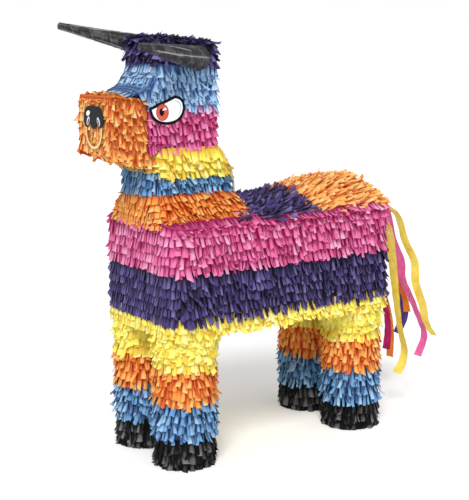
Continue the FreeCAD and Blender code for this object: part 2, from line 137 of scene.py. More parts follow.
class Bench:
    """One material's tree while it is being put together."""

    def __init__(self, name: str) -> None:
        """Start an empty material of that name.

        Args:
            name: Name of the material.
        """
        self.material = bpy.data.materials.new(name)
        self.material.use_nodes = True
        self.tree = self.material.node_tree
        self.tree.nodes.clear()

    def node(self, kind: str, settings: dict[str, Any] | None = None,
             inputs: dict[int | str, Any] | None = None) -> bpy.types.Node:
        """Add a node, set it up, then feed its sockets.

        Args:
            kind: The node's type.
            settings: Its own settings; "stops" fills a colour ramp.
            inputs: Values, wires or sockets by socket name or number.

        Returns:
            The new node.
        """
        made = self.tree.nodes.new(kind)
        for name, value in (settings or {}).items():
            if name == "stops":
                self._fill_ramp(made.color_ramp, value)
            else:
                setattr(made, name, value)
        for name, value in (inputs or {}).items():
            socket = made.inputs[name]
            if isinstance(value, Wire):
                self.tree.links.new(value.socket, socket)
            elif isinstance(value, bpy.types.NodeSocket):
                self.tree.links.new(value, socket)
            elif socket.type == "RGBA":
                socket.default_value = (*value[:3], 1.0)
            else:
                socket.default_value = value
        return made

    @staticmethod
    def _fill_ramp(ramp: bpy.types.ColorRamp, stops: Sequence[tuple[float, Colour]]) -> None:
        """Put the given stops on a colour ramp.

        Args:
            ramp: The ramp to fill.
            stops: Place and colour of each stop.
        """
        while len(ramp.elements) < len(stops):
            ramp.elements.new(0.5)
        for element, (place, colour) in zip(ramp.elements, stops):
            element.position = place
            element.color = (*colour, 1.0)

    def noise(self, place: Any, scale: float, detail: float = 3.0, rough: float = 0.5) -> Wire:
        """Cloudy noise number at a place."""
        made = self.node("ShaderNodeTexNoise", {}, {"Vector": place, "Scale": scale, "Detail": detail,
                                                    "Roughness": rough})
        return Wire(self, made.outputs[0])

    def mark(self, name: str) -> bpy.types.Node:
        """Node that reads a value kept on the mesh."""
        return self.node("ShaderNodeAttribute", {"attribute_name": name})

    def number(self, name: str) -> Wire:
        """Number kept on the mesh."""
        return Wire(self, self.mark(name).outputs["Fac"])

    def here(self) -> bpy.types.NodeSocket:
        """Place on the object, in metres."""
        return self.node("ShaderNodeTexCoord").outputs["Object"]

    def stretch(self, place: Any, across: float, along: float, up: float) -> bpy.types.NodeSocket:
        """Place with each of its directions scaled."""
        return self.node("ShaderNodeVectorMath", {"operation": "MULTIPLY"},
                         {0: place, 1: (across, along, up)}).outputs[0]

    def blend(self, share: Any, first: Any, second: Any) -> bpy.types.NodeSocket:
        """Mix of two colours."""
        made = self.node("ShaderNodeMix", {"data_type": "RGBA"}, {0: share, 6: first, 7: second})
        return made.outputs[2]

    def ramp(self, share: Any, stops: Sequence[tuple[float, Colour]]) -> bpy.types.NodeSocket:
        """Colour read from a ramp."""
        return self.node("ShaderNodeValToRGB", {"stops": stops}, {0: share}).outputs[0]

    def bump(self, height: Any, distance: float, strength: float = 1.0) -> bpy.types.NodeSocket:
        """Surface direction that a height bends."""
        return self.node("ShaderNodeBump", {}, {"Height": height, "Distance": distance,
                                                "Strength": strength}).outputs[0]

    def surface(self, colour: Any, **sockets: Any) -> bpy.types.Node:
        """Principled shader with its sockets named by words joined with underscores."""
        named = {word.replace("_", " "): value for word, value in sockets.items()}
        return self.node("ShaderNodeBsdfPrincipled", {}, {"Base Color": colour, **named})

    def papery(self, paper: bpy.types.Node, colour: Any, glow: float) -> bpy.types.Material:
        """Finish a thin paper that lets some light through, and give back the material."""
        through = self.node("ShaderNodeBsdfTranslucent", {}, {"Color": colour})
        return self.done(self.node("ShaderNodeMixShader", {}, {0: glow, 1: paper.outputs[0],
                                                               2: through.outputs[0]}))

    def done(self, shader: bpy.types.Node) -> bpy.types.Material:
        """Send a shader to the output and give back the material."""
        self.node("ShaderNodeOutputMaterial", {}, {"Surface": shader.outputs[0]})
        return self.material


@dataclass(frozen=True)
class Tissue:
    """Thin dyed tissue: painted shade deep in the creases, painted light where the light comes through a tab.
    """

    name: str
    crease_shade: Colour
    tone: Colour
    light: Colour
    glow: float = 0.28
    shine: float = 0.3

    def paint(self) -> bpy.types.Material:
        """Build the material.

        Returns:
            The finished material.
        """
        bench = Bench(self.name)
        weave = bench.mark("lay").outputs["Vector"]
        reach, tint, edge = bench.number("reach"), bench.number("tint"), bench.number("edge")
        blotch = bench.noise(bench.stretch(weave, 300, 120, 900), 1.0, 2.0)
        crinkle = bench.noise(bench.stretch(weave, 1500, 260, 900), 1.0, 3.0, 0.6)
        # Painted shade: the darkest colour at the tab roots, on the headers and lower layers (low reach), and
        # along the tab sides (edge).
        depth = bench.blend((reach * 1.5) - 0.02 - edge * 0.3, self.crease_shade, self.tone)
        # Painted light: the tabs that tint picks at random grow pale towards their tips; the blotch noise is
        # random tone in the paper.
        pale = (tint ** 2.0) * (reach * 1.1 - 0.1) - edge * 0.3 + (blotch - 0.5) * 0.7
        colour = bench.blend(pale, depth, self.light)
        paper = bench.surface(colour, Roughness=crinkle * 0.25 + 0.5, Specular_IOR_Level=self.shine,
                              Normal=bench.bump(crinkle, 0.0006, 0.8))
        return bench.papery(paper, colour, self.glow)


@dataclass(frozen=True)
class Crepe:
    """Crepe paper with fine ribs across the strip."""

    name: str
    shade: Colour
    tone: Colour
    light: Colour
    ribs: float = 1100.0
    rough: float = 0.55
    glow: float = 0.4

    def paint(self) -> bpy.types.Material:
        """Build the material.

        Returns:
            The finished material.
        """
        bench = Bench(self.name)
        weave = bench.mark("lay").outputs["Vector"]
        ribs = bench.noise(bench.stretch(weave, self.ribs * 0.12, self.ribs, 40), 1.0, 3.0, 0.6)
        cloud = bench.noise(bench.stretch(weave, 90, 60, 40), 1.0, 4.0, 0.6)
        # Painted highlight: the ridge mark lifts the horn's crease ridges and wrap seams to the light colour;
        # the cloud and rib noise scatter painted shade and light over the crinkles.
        colour = bench.ramp(cloud * 0.75 + ribs * 0.3 + bench.number("ridge_highlight") * 0.6,
                            [(0.3, self.shade), (0.52, self.tone), (1.0, self.light)])
        paper = bench.surface(colour, Roughness=ribs * 0.3 + self.rough - 0.1, Specular_IOR_Level=0.35,
                              Normal=bench.bump(ribs + cloud * 1.5, 0.0008, 0.8))
        return bench.papery(paper, colour, self.glow)


@dataclass(frozen=True)
class Kraft:
    """Brown card with fibres and the faint lines of its flutes."""

    name: str = "kraft_card"
    dark: Colour = dye(150, 116, 78)
    pale: Colour = dye(196, 162, 118)

    def paint(self) -> bpy.types.Material:
        """Build the material.

        Returns:
            The finished material.
        """
        bench = Bench(self.name)
        place = bench.here()
        fibre = bench.noise(bench.stretch(place, 900, 900, 160), 1.0, 5.0, 0.65)
        cloud = bench.noise(place, 28.0, 3.0)
        flutes = Wire(bench, bench.node("ShaderNodeTexWave", {"bands_direction": "Z"}, {
            "Vector": place, "Scale": 52.0, "Distortion": 0.6, "Detail": 2.0}).outputs[1])
        colour = bench.blend(fibre * 0.6 + cloud * 0.5, self.dark, self.pale)
        return bench.done(bench.surface(colour, Roughness=fibre * 0.2 + 0.72,
                                        Normal=bench.bump(fibre * 0.5 + flutes * 0.4, 0.0004)))


@dataclass(frozen=True)
class Print:
    """Ink on smooth coated card, with a trace of mottle."""

    name: str
    ink: Colour
    edge: Colour
    coat: float = 0.25
    gloss: float = 0.5

    def paint(self) -> bpy.types.Material:
        """Build the material.

        Returns:
            The finished material.
        """
        bench = Bench(self.name)
        place = bench.here()
        mottle = bench.noise(place, 420.0, 4.0)
        cloud = bench.noise(place, 90.0, 2.0)
        colour = bench.blend(cloud * 0.9 + mottle * 0.25 - 0.15, self.ink, self.edge)
        return bench.done(bench.surface(colour, Roughness=mottle * 0.15 + 0.3, Coat_Weight=self.coat,
                                        Coat_Roughness=0.25, Specular_IOR_Level=self.gloss,
                                        Normal=bench.bump(mottle, 0.00015, 0.5)))


@dataclass(frozen=True)
class Cotton:
    """White twisted cotton cord."""

    name: str = "white_cotton"

    def paint(self) -> bpy.types.Material:
        """Build the material.

        Returns:
            The finished material.
        """
        bench = Bench(self.name)
        place = bench.here()
        lay = Wire(bench, bench.node("ShaderNodeTexWave", {"bands_direction": "DIAGONAL"}, {
            "Vector": place, "Scale": 210.0, "Distortion": 1.5}).outputs[1])
        fuzz = bench.noise(place, 1600.0, 4.0)
        colour = bench.blend(lay * 0.7 + fuzz * 0.3, dye(226, 221, 214), dye(252, 250, 247))
        return bench.done(bench.surface(colour, Roughness=fuzz * 0.2 + 0.7, Sheen_Weight=0.2,
                                        Normal=bench.bump(lay + fuzz * 0.4, 0.0007)))


@dataclass(frozen=True)
class PaleFloor:
    """Plain pale floor with a hardly visible grain."""

    name: str = "pale_floor"

    def paint(self) -> bpy.types.Material:
        """Build the material.

        Returns:
            The finished material.
        """
        bench = Bench(self.name)
        grain = bench.noise(bench.here(), 9.0, 3.0)
        colour = bench.blend(grain, (0.93, 0.93, 0.93), (0.97, 0.97, 0.97))
        return bench.done(bench.surface(colour, Roughness=0.85, Specular_IOR_Level=0.1,
                                        Emission_Color=(1.0, 1.0, 1.0), Emission_Strength=0.14))


class Paint(Enum):
    """Finishes; where the record's slot has another name, it stands second."""

    # Each tissue's first colour is painted shade for creases and covered parts; its third is painted light for
    # the tab tips.
    PINK = Tissue("pink_tissue", dye(166, 0, 84), dye(240, 114, 176), dye(255, 204, 232))
    PURPLE = Tissue("purple_tissue", dye(10, 8, 24), dye(76, 62, 122), dye(140, 126, 188))
    YELLOW = Tissue("yellow_tissue", dye(238, 196, 60), dye(255, 250, 112), dye(255, 255, 196))
    ORANGE = Tissue("orange_tissue", dye(202, 56, 18), dye(253, 170, 74), dye(255, 226, 146))
    # Painted light: a lighter copy of the orange tissue, in the orange tissue's slot, for the muzzle and the
    # rump.
    PAINTED_LIGHT_ORANGE = (Tissue("muzzle_tissue_painted_light", dye(212, 90, 32), dye(255, 190, 98), dye(255, 236, 170)),
              "orange_tissue")
    BLUE = Tissue("blue_tissue", dye(22, 48, 92), dye(114, 170, 222), dye(192, 228, 255))
    # Painted light: a lighter copy of the blue tissue, in the blue tissue's slot, for the brow, which faces
    # away from the key light.
    PAINTED_LIGHT_BLUE = (Tissue("brow_tissue_painted_light", dye(48, 82, 142), dye(170, 214, 255), dye(224, 243, 255)), "blue_tissue")
    BLACK = Tissue("black_tissue", dye(3, 3, 3), dye(14, 14, 15), dye(128, 127, 130), 0.0, 0.1)
    HORN = (Crepe("horn_crepe", dye(8, 8, 9), dye(28, 27, 30), dye(150, 148, 154), 700.0, 0.42, 0.0),
            "black_crepe")
    PINK_STRIP = Crepe("pink_crepe", dye(206, 70, 138), dye(232, 104, 168), dye(248, 160, 204))
    MAGENTA_STRIP = Crepe("magenta_crepe", dye(140, 8, 70), dye(196, 26, 108), dye(226, 80, 150))
    YELLOW_STRIP = Crepe("yellow_crepe", dye(232, 190, 62), dye(252, 228, 96), dye(255, 244, 160))
    ORANGE_STRIP = Crepe("orange_crepe", dye(196, 72, 20), dye(238, 128, 42), dye(252, 178, 92))
    PURPLE_STRIP = Crepe("purple_crepe", dye(38, 26, 72), dye(78, 58, 130), dye(118, 96, 176))
    CARD = (Kraft(), "card")
    CORD = (Cotton(), "white_cord")
    INK_BLACK = (Print("ink_black", dye(4, 4, 5), dye(14, 13, 15), 0.0, 0.12), "printed_card")
    INK_WHITE = (Print("ink_white", dye(252, 252, 252), dye(240, 243, 248)), "printed_card")
    INK_RED = (Print("ink_red", dye(200, 56, 36), dye(226, 96, 62)), "printed_card")
    INK_DEEP_RED = (Print("ink_deep_red", dye(132, 26, 20), dye(160, 40, 30)), "printed_card")
    INK_BLUE = (Print("ink_pale_blue", dye(176, 206, 238), dye(206, 226, 246)), "printed_card")
    INK_LILAC = (Print("ink_lilac", dye(206, 194, 224), dye(232, 224, 242)), "printed_card")
    INK_GOLD = (Print("ink_gold", dye(238, 176, 84), dye(252, 216, 138), 0.6), "printed_card")
    INK_AMBER = (Print("ink_amber", dye(140, 92, 36), dye(176, 122, 52), 0.6), "printed_card")

    def __init__(self, finish: Any, slot: str = "") -> None:
        """Keep the finish and its slot apart."""
        self.finish = finish
        self.slot = slot or finish.name

    def material(self) -> bpy.types.Material:
        """Material of this finish."""
        return painted(self.finish)


@functools.cache
def painted(finish: Any) -> bpy.types.Material:
    """Material of a finish, built the first time it is asked for."""
    return finish.paint()


# --- meshes
def add_piece(name: str, points: np.ndarray, faces: Sequence[Sequence[int]], paints: Sequence[Paint],
              body: Body, replaced: Sequence[str] = (), picks: Sequence[int] | None = None,
              marks: dict[str, np.ndarray] | None = None) -> bpy.types.Object:
    """Make a mesh piece and hang it on its body.

    Args:
        name: Name of the piece.
        points: Vertices in the row frame.
        faces: Vertex numbers of each face.
        paints: Finishes, one material each.
        body: Body that it rides on.
        replaced: Frame nodes that it stands for.
        picks: Which finish each face takes.
        marks: Numbers kept on the vertices, one array each.

    Returns:
        The object.
    """
    mesh = bpy.data.meshes.new(name)
    mesh.from_pydata(np.asarray(points, float).tolist(), [], [list(face) for face in faces])
    for paint in paints:
        mesh.materials.append(paint.material())
    if picks is not None:
        mesh.polygons.foreach_set("material_index", np.asarray(picks, np.int32))
    for key, values in (marks or {}).items():
        kind, channel = ("FLOAT_VECTOR", "vector") if values.ndim == 2 else ("FLOAT", "value")
        layer = mesh.attributes.new(key, kind, "POINT")
        layer.data.foreach_set(channel, np.asarray(values, np.float32).ravel())
    mesh.shade_smooth()
    mesh.update()
    piece = bpy.data.objects.new(name, mesh)
    bpy.context.scene.collection.objects.link(piece)
    if body is not None:
        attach(piece, body.value)
    if replaced:
        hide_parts(*replaced)
    LOG.info("%s: %d vertices, %d faces", name, len(points), len(faces))
    return piece


def grid_faces(columns: int, rows: int) -> np.ndarray:
    """Four-cornered faces of a grid whose vertices run row by row."""
    corner = np.arange((rows - 1) * columns).reshape(rows - 1, columns)[:, :-1].ravel()
    return np.stack([corner, corner + 1, corner + columns + 1, corner + columns], axis=1)


@dataclass
class Course:
    """Line that one row of tabs is glued along.

    out is the way the paper faces, fall the way its tabs point, and scale their relative length.
    """

    line: np.ndarray
    out: Any
    fall: Any
    scale: np.ndarray | None = None

    def __post_init__(self) -> None:
        """Repeat a direction that is given once for the whole row."""
        self.out, self.fall = (np.array(np.broadcast_to(way, self.line.shape), float)
                               for way in (self.out, self.fall))

    def part(self, first: int, last: int | None) -> "Course":
        """Stretch of the row between two of its points."""
        run = slice(first, last)
        return Course(self.line[run], self.out[run], self.fall[run],
                      None if self.scale is None else self.scale[run])

    def parted(self, level: float) -> tuple["Course", list["Course"]]:
        """Front of a closed row, and its two sides."""
        face = unit(self.out)[:, 1] < level
        first, last = int(np.argmax(face)), len(face) - int(np.argmax(face[::-1]))
        return self.part(first - 1, last + 1), [self.part(0, first), self.part(last, None)]


@dataclass(frozen=True)
class Cut:
    """How a tissue row is snipped and how its tabs stand off; sizes in millimetres, the rest shares."""

    width: float = 7.2
    length: float = 16.5
    gap: float = 0.10
    lift: float = 3.0
    sway: float = 0.09
    ragged: float = 0.12
    cup: float = 1.1
    twist: float = 0.9
    curl: float = 1.3
    stray: float = 0.015
    root: float = 0.8
    layers: int = 2
    header: float = 13.5

    def neat(self, **changes: float) -> "Cut":
        """The same cut pressed flat, as on the bull's front."""
        return replace(self, **{"gap": 0.09, "sway": 0.04, "lift": self.lift * 0.55, "cup": 0.5, "twist": 0.4,
                                "curl": 0.5, "ragged": 0.06, "stray": 0.0, **changes})

    def metres(self) -> "Cut":
        """The same cut with its sizes in metres."""
        return replace(self, **{name: getattr(self, name) * MM for name in (
            "width", "length", "lift", "cup", "twist", "curl", "root", "header")})


COLUMNS, ROWS = 4, 6
PITCH, TAB_REACH = 11.5 * MM, 15.5 * MM
FLOOR_CLEAR = 0.4 * MM


class Fringe:
    """Rows of tissue tabs that are gathered into one piece."""

    def __init__(self, seed: int, cut: Cut) -> None:
        """Start with no rows, a seed for the hand-cut unevenness and the usual cut.

        Args:
            seed: Start of the random draws.
            cut: How the rows are snipped.
        """
        self.random = np.random.default_rng(seed)
        self.cut = cut
        self.points: list[np.ndarray] = []
        self.faces: list[np.ndarray] = []
        self.marks: dict[str, list[np.ndarray]] = {"lay": [], "reach": [], "tint": [], "edge": []}
        self.count = 0

    def _keep(self, points: np.ndarray, faces: np.ndarray, lay: np.ndarray, *marks: np.ndarray) -> None:
        """Take in one batch of vertices and faces, with each vertex's reach, tint and edge, which the tissue
        paints its shade and light from.

        Args:
            points: Vertices of the batch.
            faces: Its faces, counted from its first vertex.
            lay: Flat place of each vertex in the tissue.
            marks: Values kept for each vertex.
        """
        self.points.append(points.reshape(-1, 3))
        self.faces.append(faces + self.count)
        self.marks["lay"].append(lay.reshape(-1, 3))
        for key, values in zip(("reach", "tint", "edge"), marks):
            self.marks[key].append(values.ravel())
        self.count += len(self.points[-1])

    def lay(self, course: Course, cut: Cut | None = None, skip: Region | None = None) -> None:
        """Glue one row down: its uncut header, then its tabs in layers.

        Args:
            course: The line to follow.
            cut: Cut of this row where it isn't the usual one.
            skip: Says which root points get no tab.
        """
        cut = (cut or self.cut).metres()
        steps = np.linalg.norm(np.diff(course.line, axis=0), axis=1)
        along = np.concatenate([[0.0], np.cumsum(steps)])
        total = float(along[-1])
        if total < cut.width:
            return
        closed = np.linalg.norm(course.line[0] - course.line[-1]) < 1e-6
        scale = np.ones(len(along)) if course.scale is None else course.scale

        def read(values: np.ndarray, where: np.ndarray) -> np.ndarray:
            """Values along the line at the given distances.

            Args:
                values: Values at the points of the line.
                where: Distances along it.

            Returns:
                The values.
            """
            where = np.mod(where, total) if closed else np.clip(where, 0, total)
            if values.ndim == 1:
                return np.interp(where, along, values)
            return np.stack([np.interp(where, along, values[:, axis]) for axis in range(3)], axis=-1)

        self._header(course, cut, along, read, skip)
        draw = self.random
        count = max(1, round(total / cut.width))
        for layer in range(cut.layers):
            widths = draw.uniform(0.75, 1.25, count)
            widths *= total / widths.sum()
            starts = np.concatenate([[0.0], np.cumsum(widths)[:-1]]) + layer * 0.5 * cut.width * closed
            across = np.linspace(0, 1, COLUMNS)
            where = starts[:, None] + widths[:, None] * (cut.gap / 2 + across * (1 - cut.gap))
            base, out, fall = (read(values, where) for values in (course.line, course.out, course.fall))
            middle = read(course.line, starts + widths / 2)
            kept = np.ones(count, bool) if skip is None else ~skip(middle)
            if not kept.any():
                continue
            out, fall = unit(out), unit(fall)
            side = unit(np.cross(out, fall))
            self._tabs(cut, draw, kept, widths, where, base, out, fall, side,
                       read(scale, starts + widths / 2), layer)

    def ring(self, course: Course, skip: Region | None = None, level: float = -0.75,
             **changes: float) -> None:
        """Glue down a closed row whose front is pressed flat.

        Args:
            course: The closed row.
            skip: Where it gets no tabs.
            level: How flat its front is pressed.
            changes: Changes to the cut.
        """
        front, sides = course.parted(level)
        self.lay(front, self.cut.neat(**changes), skip)
        for side in sides:
            self.lay(side, None, skip)

    def _header(self, course: Course, cut: Cut, along: np.ndarray, read: Callable[..., np.ndarray],
                skip: Region | None) -> None:
        """Lay the row's uncut, glued part as one strip."""
        count = max(2, int(along[-1] / (5 * MM)) + 1)
        where = np.linspace(0, along[-1] * 0.99999, count)
        base, out, fall = (read(values, where) for values in (course.line, course.out, course.fall))
        deep = np.array([-2.0 * MM, 0.35 * cut.header, cut.header])
        high = np.array([0.25, 0.55, 0.95]) * MM
        points = (base[None] + unit(fall)[None] * deep[:, None, None] + unit(out)[None] * high[:, None, None])
        faces = grid_faces(count, 3)
        if skip is not None:
            inside = skip(base)
            faces = faces[~(inside[faces[:, 0] % count] & inside[faces[:, 1] % count])]
        lay = join(where[None], deep[:, None], 0.0)
        # Painted shade: the header, which lies under the tabs, gets low reach and so the darkest colour, most
        # where the tabs cover it.
        reach = np.broadcast_to(np.array([0.3, 0.15, 0.05])[:, None], (3, count))
        self._keep(points, faces, lay, reach, np.full((3, count), 0.25), np.full((3, count), 0.3))

    def _tabs(self, cut: Cut, draw: np.random.Generator, kept: np.ndarray, widths: np.ndarray,
              where: np.ndarray, base: np.ndarray, out: np.ndarray, fall: np.ndarray, side: np.ndarray,
              scale: np.ndarray, layer: int) -> None:
        """Bend every tab of one layer and take them in."""
        count = len(widths)
        spread = draw.normal(0, 1, (9, count))
        tint = draw.uniform(0, 1, count)
        stray = (draw.uniform(0, 1, count) < cut.stray) * draw.uniform(1.0, 2.2, count)
        down = np.linspace(0, 1, ROWS)[None, :, None]
        centre = np.linspace(-1, 1, COLUMNS)[None, None, :]

        def per(values: np.ndarray) -> np.ndarray:
            """One value for each tab, ready for its grid."""
            return values[:, None, None]

        length = per(cut.length * scale * np.clip(1 + cut.ragged * spread[0], 0.6, 1.5))
        lift = per(cut.lift * np.clip(0.55 + 0.45 * layer + 0.4 * spread[1] + stray, 0.1, 3.5))
        slant = per(spread[2] * 0.05)
        sway = per(spread[3] * cut.sway * (1 + 0.6 * stray))
        cup = per(spread[4] * cut.cup)
        twist = per(spread[5] * cut.twist)
        curl = per(np.abs(spread[6]) * cut.curl)
        wander = per(spread[7] * 0.5 * MM)
        flare = per(spread[8] * 0.05 - 0.03)
        reach = length * down * (1 + slant * centre)
        height = (cut.root + 0.25 * MM * layer + lift * down ** 1.4 + cup * (1 - centre ** 2) * down
                  + twist * centre * down + curl * np.clip(down - 0.55, 0, 1) ** 2 * 4)
        shift = sway * reach + wander * np.sin(down * math.pi) + centre * per(widths) * flare * down
        forward = reach - curl * np.clip(down - 0.6, 0, 1) ** 2 * 1.5
        height = np.maximum(height, 0.4 * MM)
        points = (base[:, None] + fall[:, None] * forward[..., None] + out[:, None] * height[..., None]
                  + side[:, None] * shift[..., None])
        lay = join(where[:, None, :], length * down, per(tint * 3 + layer))
        # Painted light and shade: dark at the tab's root and light at its tip, the lower layer darker still;
        # the sides take painted shade through the edge mark.
        painted_lit_share = np.broadcast_to(down, points.shape[:3])[kept] * (1.0 if layer == cut.layers - 1 else 0.3)
        tabs = int(kept.sum())
        faces = grid_faces(COLUMNS, ROWS)[None] + np.arange(tabs)[:, None, None] * (COLUMNS * ROWS)
        tints, painted_side_shade = (np.broadcast_to(values, points.shape[:3])[kept] for values in (per(tint), centre ** 4))
        self._keep(points[kept], faces.reshape(-1, 4), lay[kept], painted_lit_share, tints, painted_side_shade)

    def press(self, inside: Region, axis: int, sign: float, level: float) -> None:
        """Flatten what lies under a sticker.

        Args:
            inside: Says which vertices are under it.
            axis: Number of the axis that the sticker faces along.
            sign: Which way it faces on that axis.
            level: Height of the sticker's back on that axis.
        """
        for batch in self.points:
            under = inside(batch) & (batch[:, axis] * sign > level)
            batch[under, axis] = sign * level

    def build(self, name: str, paint: Paint, *replaced: str,
              body: Body | None = Body.CARCASS) -> bpy.types.Object:
        """Make the piece.

        Args:
            name: Name of the piece.
            paint: Its finish.
            replaced: The nodes that it stands for.
            body: The body that it rides on.

        Returns:
            The finished piece.
        """
        points = np.concatenate(self.points)
        points[:, 2] = np.maximum(points[:, 2], FLOOR_CLEAR)
        return add_piece(name, points, np.concatenate(self.faces), [paint], body, replaced,
                         marks={key: np.concatenate(batches) for key, batches in self.marks.items()})


# --- lines to glue along
@dataclass(frozen=True)
class Outline:
    """Level rectangle with rounded corners, run as one closed line."""

    half_width: float
    front: float
    rear: float
    corner: float
    step: float = 1.5 * MM

    def trace(self) -> tuple[np.ndarray, np.ndarray]:
        """Points of the line and the way each faces, from the middle of the rear and back to it.

        Returns:
            The points, and the way out at each.
        """
        centres = [(self.half_width - self.corner, self.rear - self.corner, 0.0),
                   (self.corner - self.half_width, self.rear - self.corner, 90.0),
                   (self.corner - self.half_width, self.front + self.corner, 180.0),
                   (self.half_width - self.corner, self.front + self.corner, 270.0)]
        places, facings = [], []
        for across, along, start in centres[1:] + centres[:1]:
            turn = np.radians(np.linspace(start, start + 90, 8))
            facing = np.stack([np.cos(turn), np.sin(turn)], axis=1)
            places.append(np.array([across, along]) + facing * self.corner)
            facings.append(facing)
        place, facing = np.concatenate(places), np.concatenate(facings)
        middle = np.array([[0.0, self.rear]])
        place = np.concatenate([middle, place, middle])
        facing = np.concatenate([[[0.0, 1.0]], facing, [[0.0, 1.0]]])
        gaps = np.linalg.norm(np.diff(place, axis=0), axis=1)
        along = np.concatenate([[0.0], np.cumsum(gaps)])
        where = np.linspace(0, along[-1], int(along[-1] / self.step))
        return (np.stack([np.interp(where, along, place[:, axis]) for axis in range(2)], axis=1),
                unit(np.stack([np.interp(where, along, facing[:, axis]) for axis in range(2)], axis=1)))

    def course(self, height: Callable[[np.ndarray, np.ndarray], np.ndarray] | float, flare: float = 0.0,
               scale: Callable[[np.ndarray, np.ndarray], np.ndarray] | None = None) -> Course:
        """Row of hanging tabs at a height.

        Args:
            height: Height of the roots, or a function of x and y that gives it.
            flare: How far the tabs lean outwards.
            scale: Relative length of the tabs as a function of x and y.

        Returns:
            The row.
        """
        place, facing = self.trace()
        across, along = place[:, 0], place[:, 1]
        line = join(across, along, height(across, along) if callable(height) else height)
        out = join(*facing.T, flare)
        fall = np.column_stack([facing * flare, -np.ones(len(place))])
        return Course(line, out, fall, None if scale is None else scale(across, along))


def roots(bottom: float, top: float) -> list[float]:
    """Heights of the rows of a band whose lowest tabs end at bottom."""
    first = bottom + TAB_REACH
    return [first + PITCH * step for step in range(int(max(0.0, top - first) / PITCH + 0.75) + 1)]


@dataclass(frozen=True)
class BackCurve:
    """Arched top of the body."""

    half_width: float = 82.5 * MM
    edge: float = 290 * MM
    stations: tuple[float, ...] = (-176.5, -50.0, 8.0, 58.0, 100.0, 143.0, 176.5)
    crowns: tuple[float, ...] = (299.0, 304.0, 306.5, 319.0, 327.0, 328.5, 312.0)

    def height(self, across: np.ndarray, along: np.ndarray) -> np.ndarray:
        """Height of the card at a place.

        Args:
            across: Places from side to side.
            along: Places from front to rear.

        Returns:
            The height at each place.
        """
        crown = np.interp(along, np.array(self.stations) * MM, np.array(self.crowns) * MM)
        rise = crown - self.edge
        radius = (self.half_width ** 2 + rise ** 2) / (2 * rise)
        return crown - radius + np.sqrt(radius ** 2 - np.clip(np.abs(across), 0, 0.09) ** 2)

    def facing(self, across: np.ndarray, along: np.ndarray) -> np.ndarray:
        """Outward direction of the card at a place.

        Args:
            across: Places from side to side.
            along: Places from front to rear.

        Returns:
            The way out at each place.
        """
        tiny, small = 0.5 * MM, 1.5 * MM
        slope_across = (self.height(across + tiny, along) - self.height(across - tiny, along)) / (2 * tiny)
        slope_along = (self.height(across, along + small) - self.height(across, along - small)) / (2 * small)
        return unit(np.stack([-slope_across, -slope_along, np.ones_like(slope_across)], axis=-1))

    def _laid(self, across: np.ndarray, along: np.ndarray, way: Sequence[float]) -> Course:
        """Row whose tabs lie on the card and point one way.

        Args:
            across: Places from side to side.
            along: Places from front to rear.
            way: The way that the tabs point.

        Returns:
            The row.
        """
        out = self.facing(across, along)
        way = np.broadcast_to(way, out.shape)
        return Course(join(across, along, self.height(across, along)), out,
                      unit(way - out * np.sum(way * out, axis=1, keepdims=True)))

    def row(self, along: float, left: float, right: float, sag: float = 0.0) -> Course:
        """Row across the back whose tabs point to the rear."""
        across = np.linspace(left, right, max(3, int(abs(right - left) / (2 * MM))))
        return self._laid(across, along + sag * (across / self.half_width) ** 2, (0.0, 1.0, 0.0))

    def flank_row(self, across: float, front: float, rear: float) -> Course:
        """Row along the shoulder whose tabs point to the flank."""
        along = np.linspace(front, rear, max(3, int(abs(rear - front) / (2 * MM))))
        return self._laid(np.full_like(along, across), along, (math.copysign(1.0, across), 0.0, 0.0))


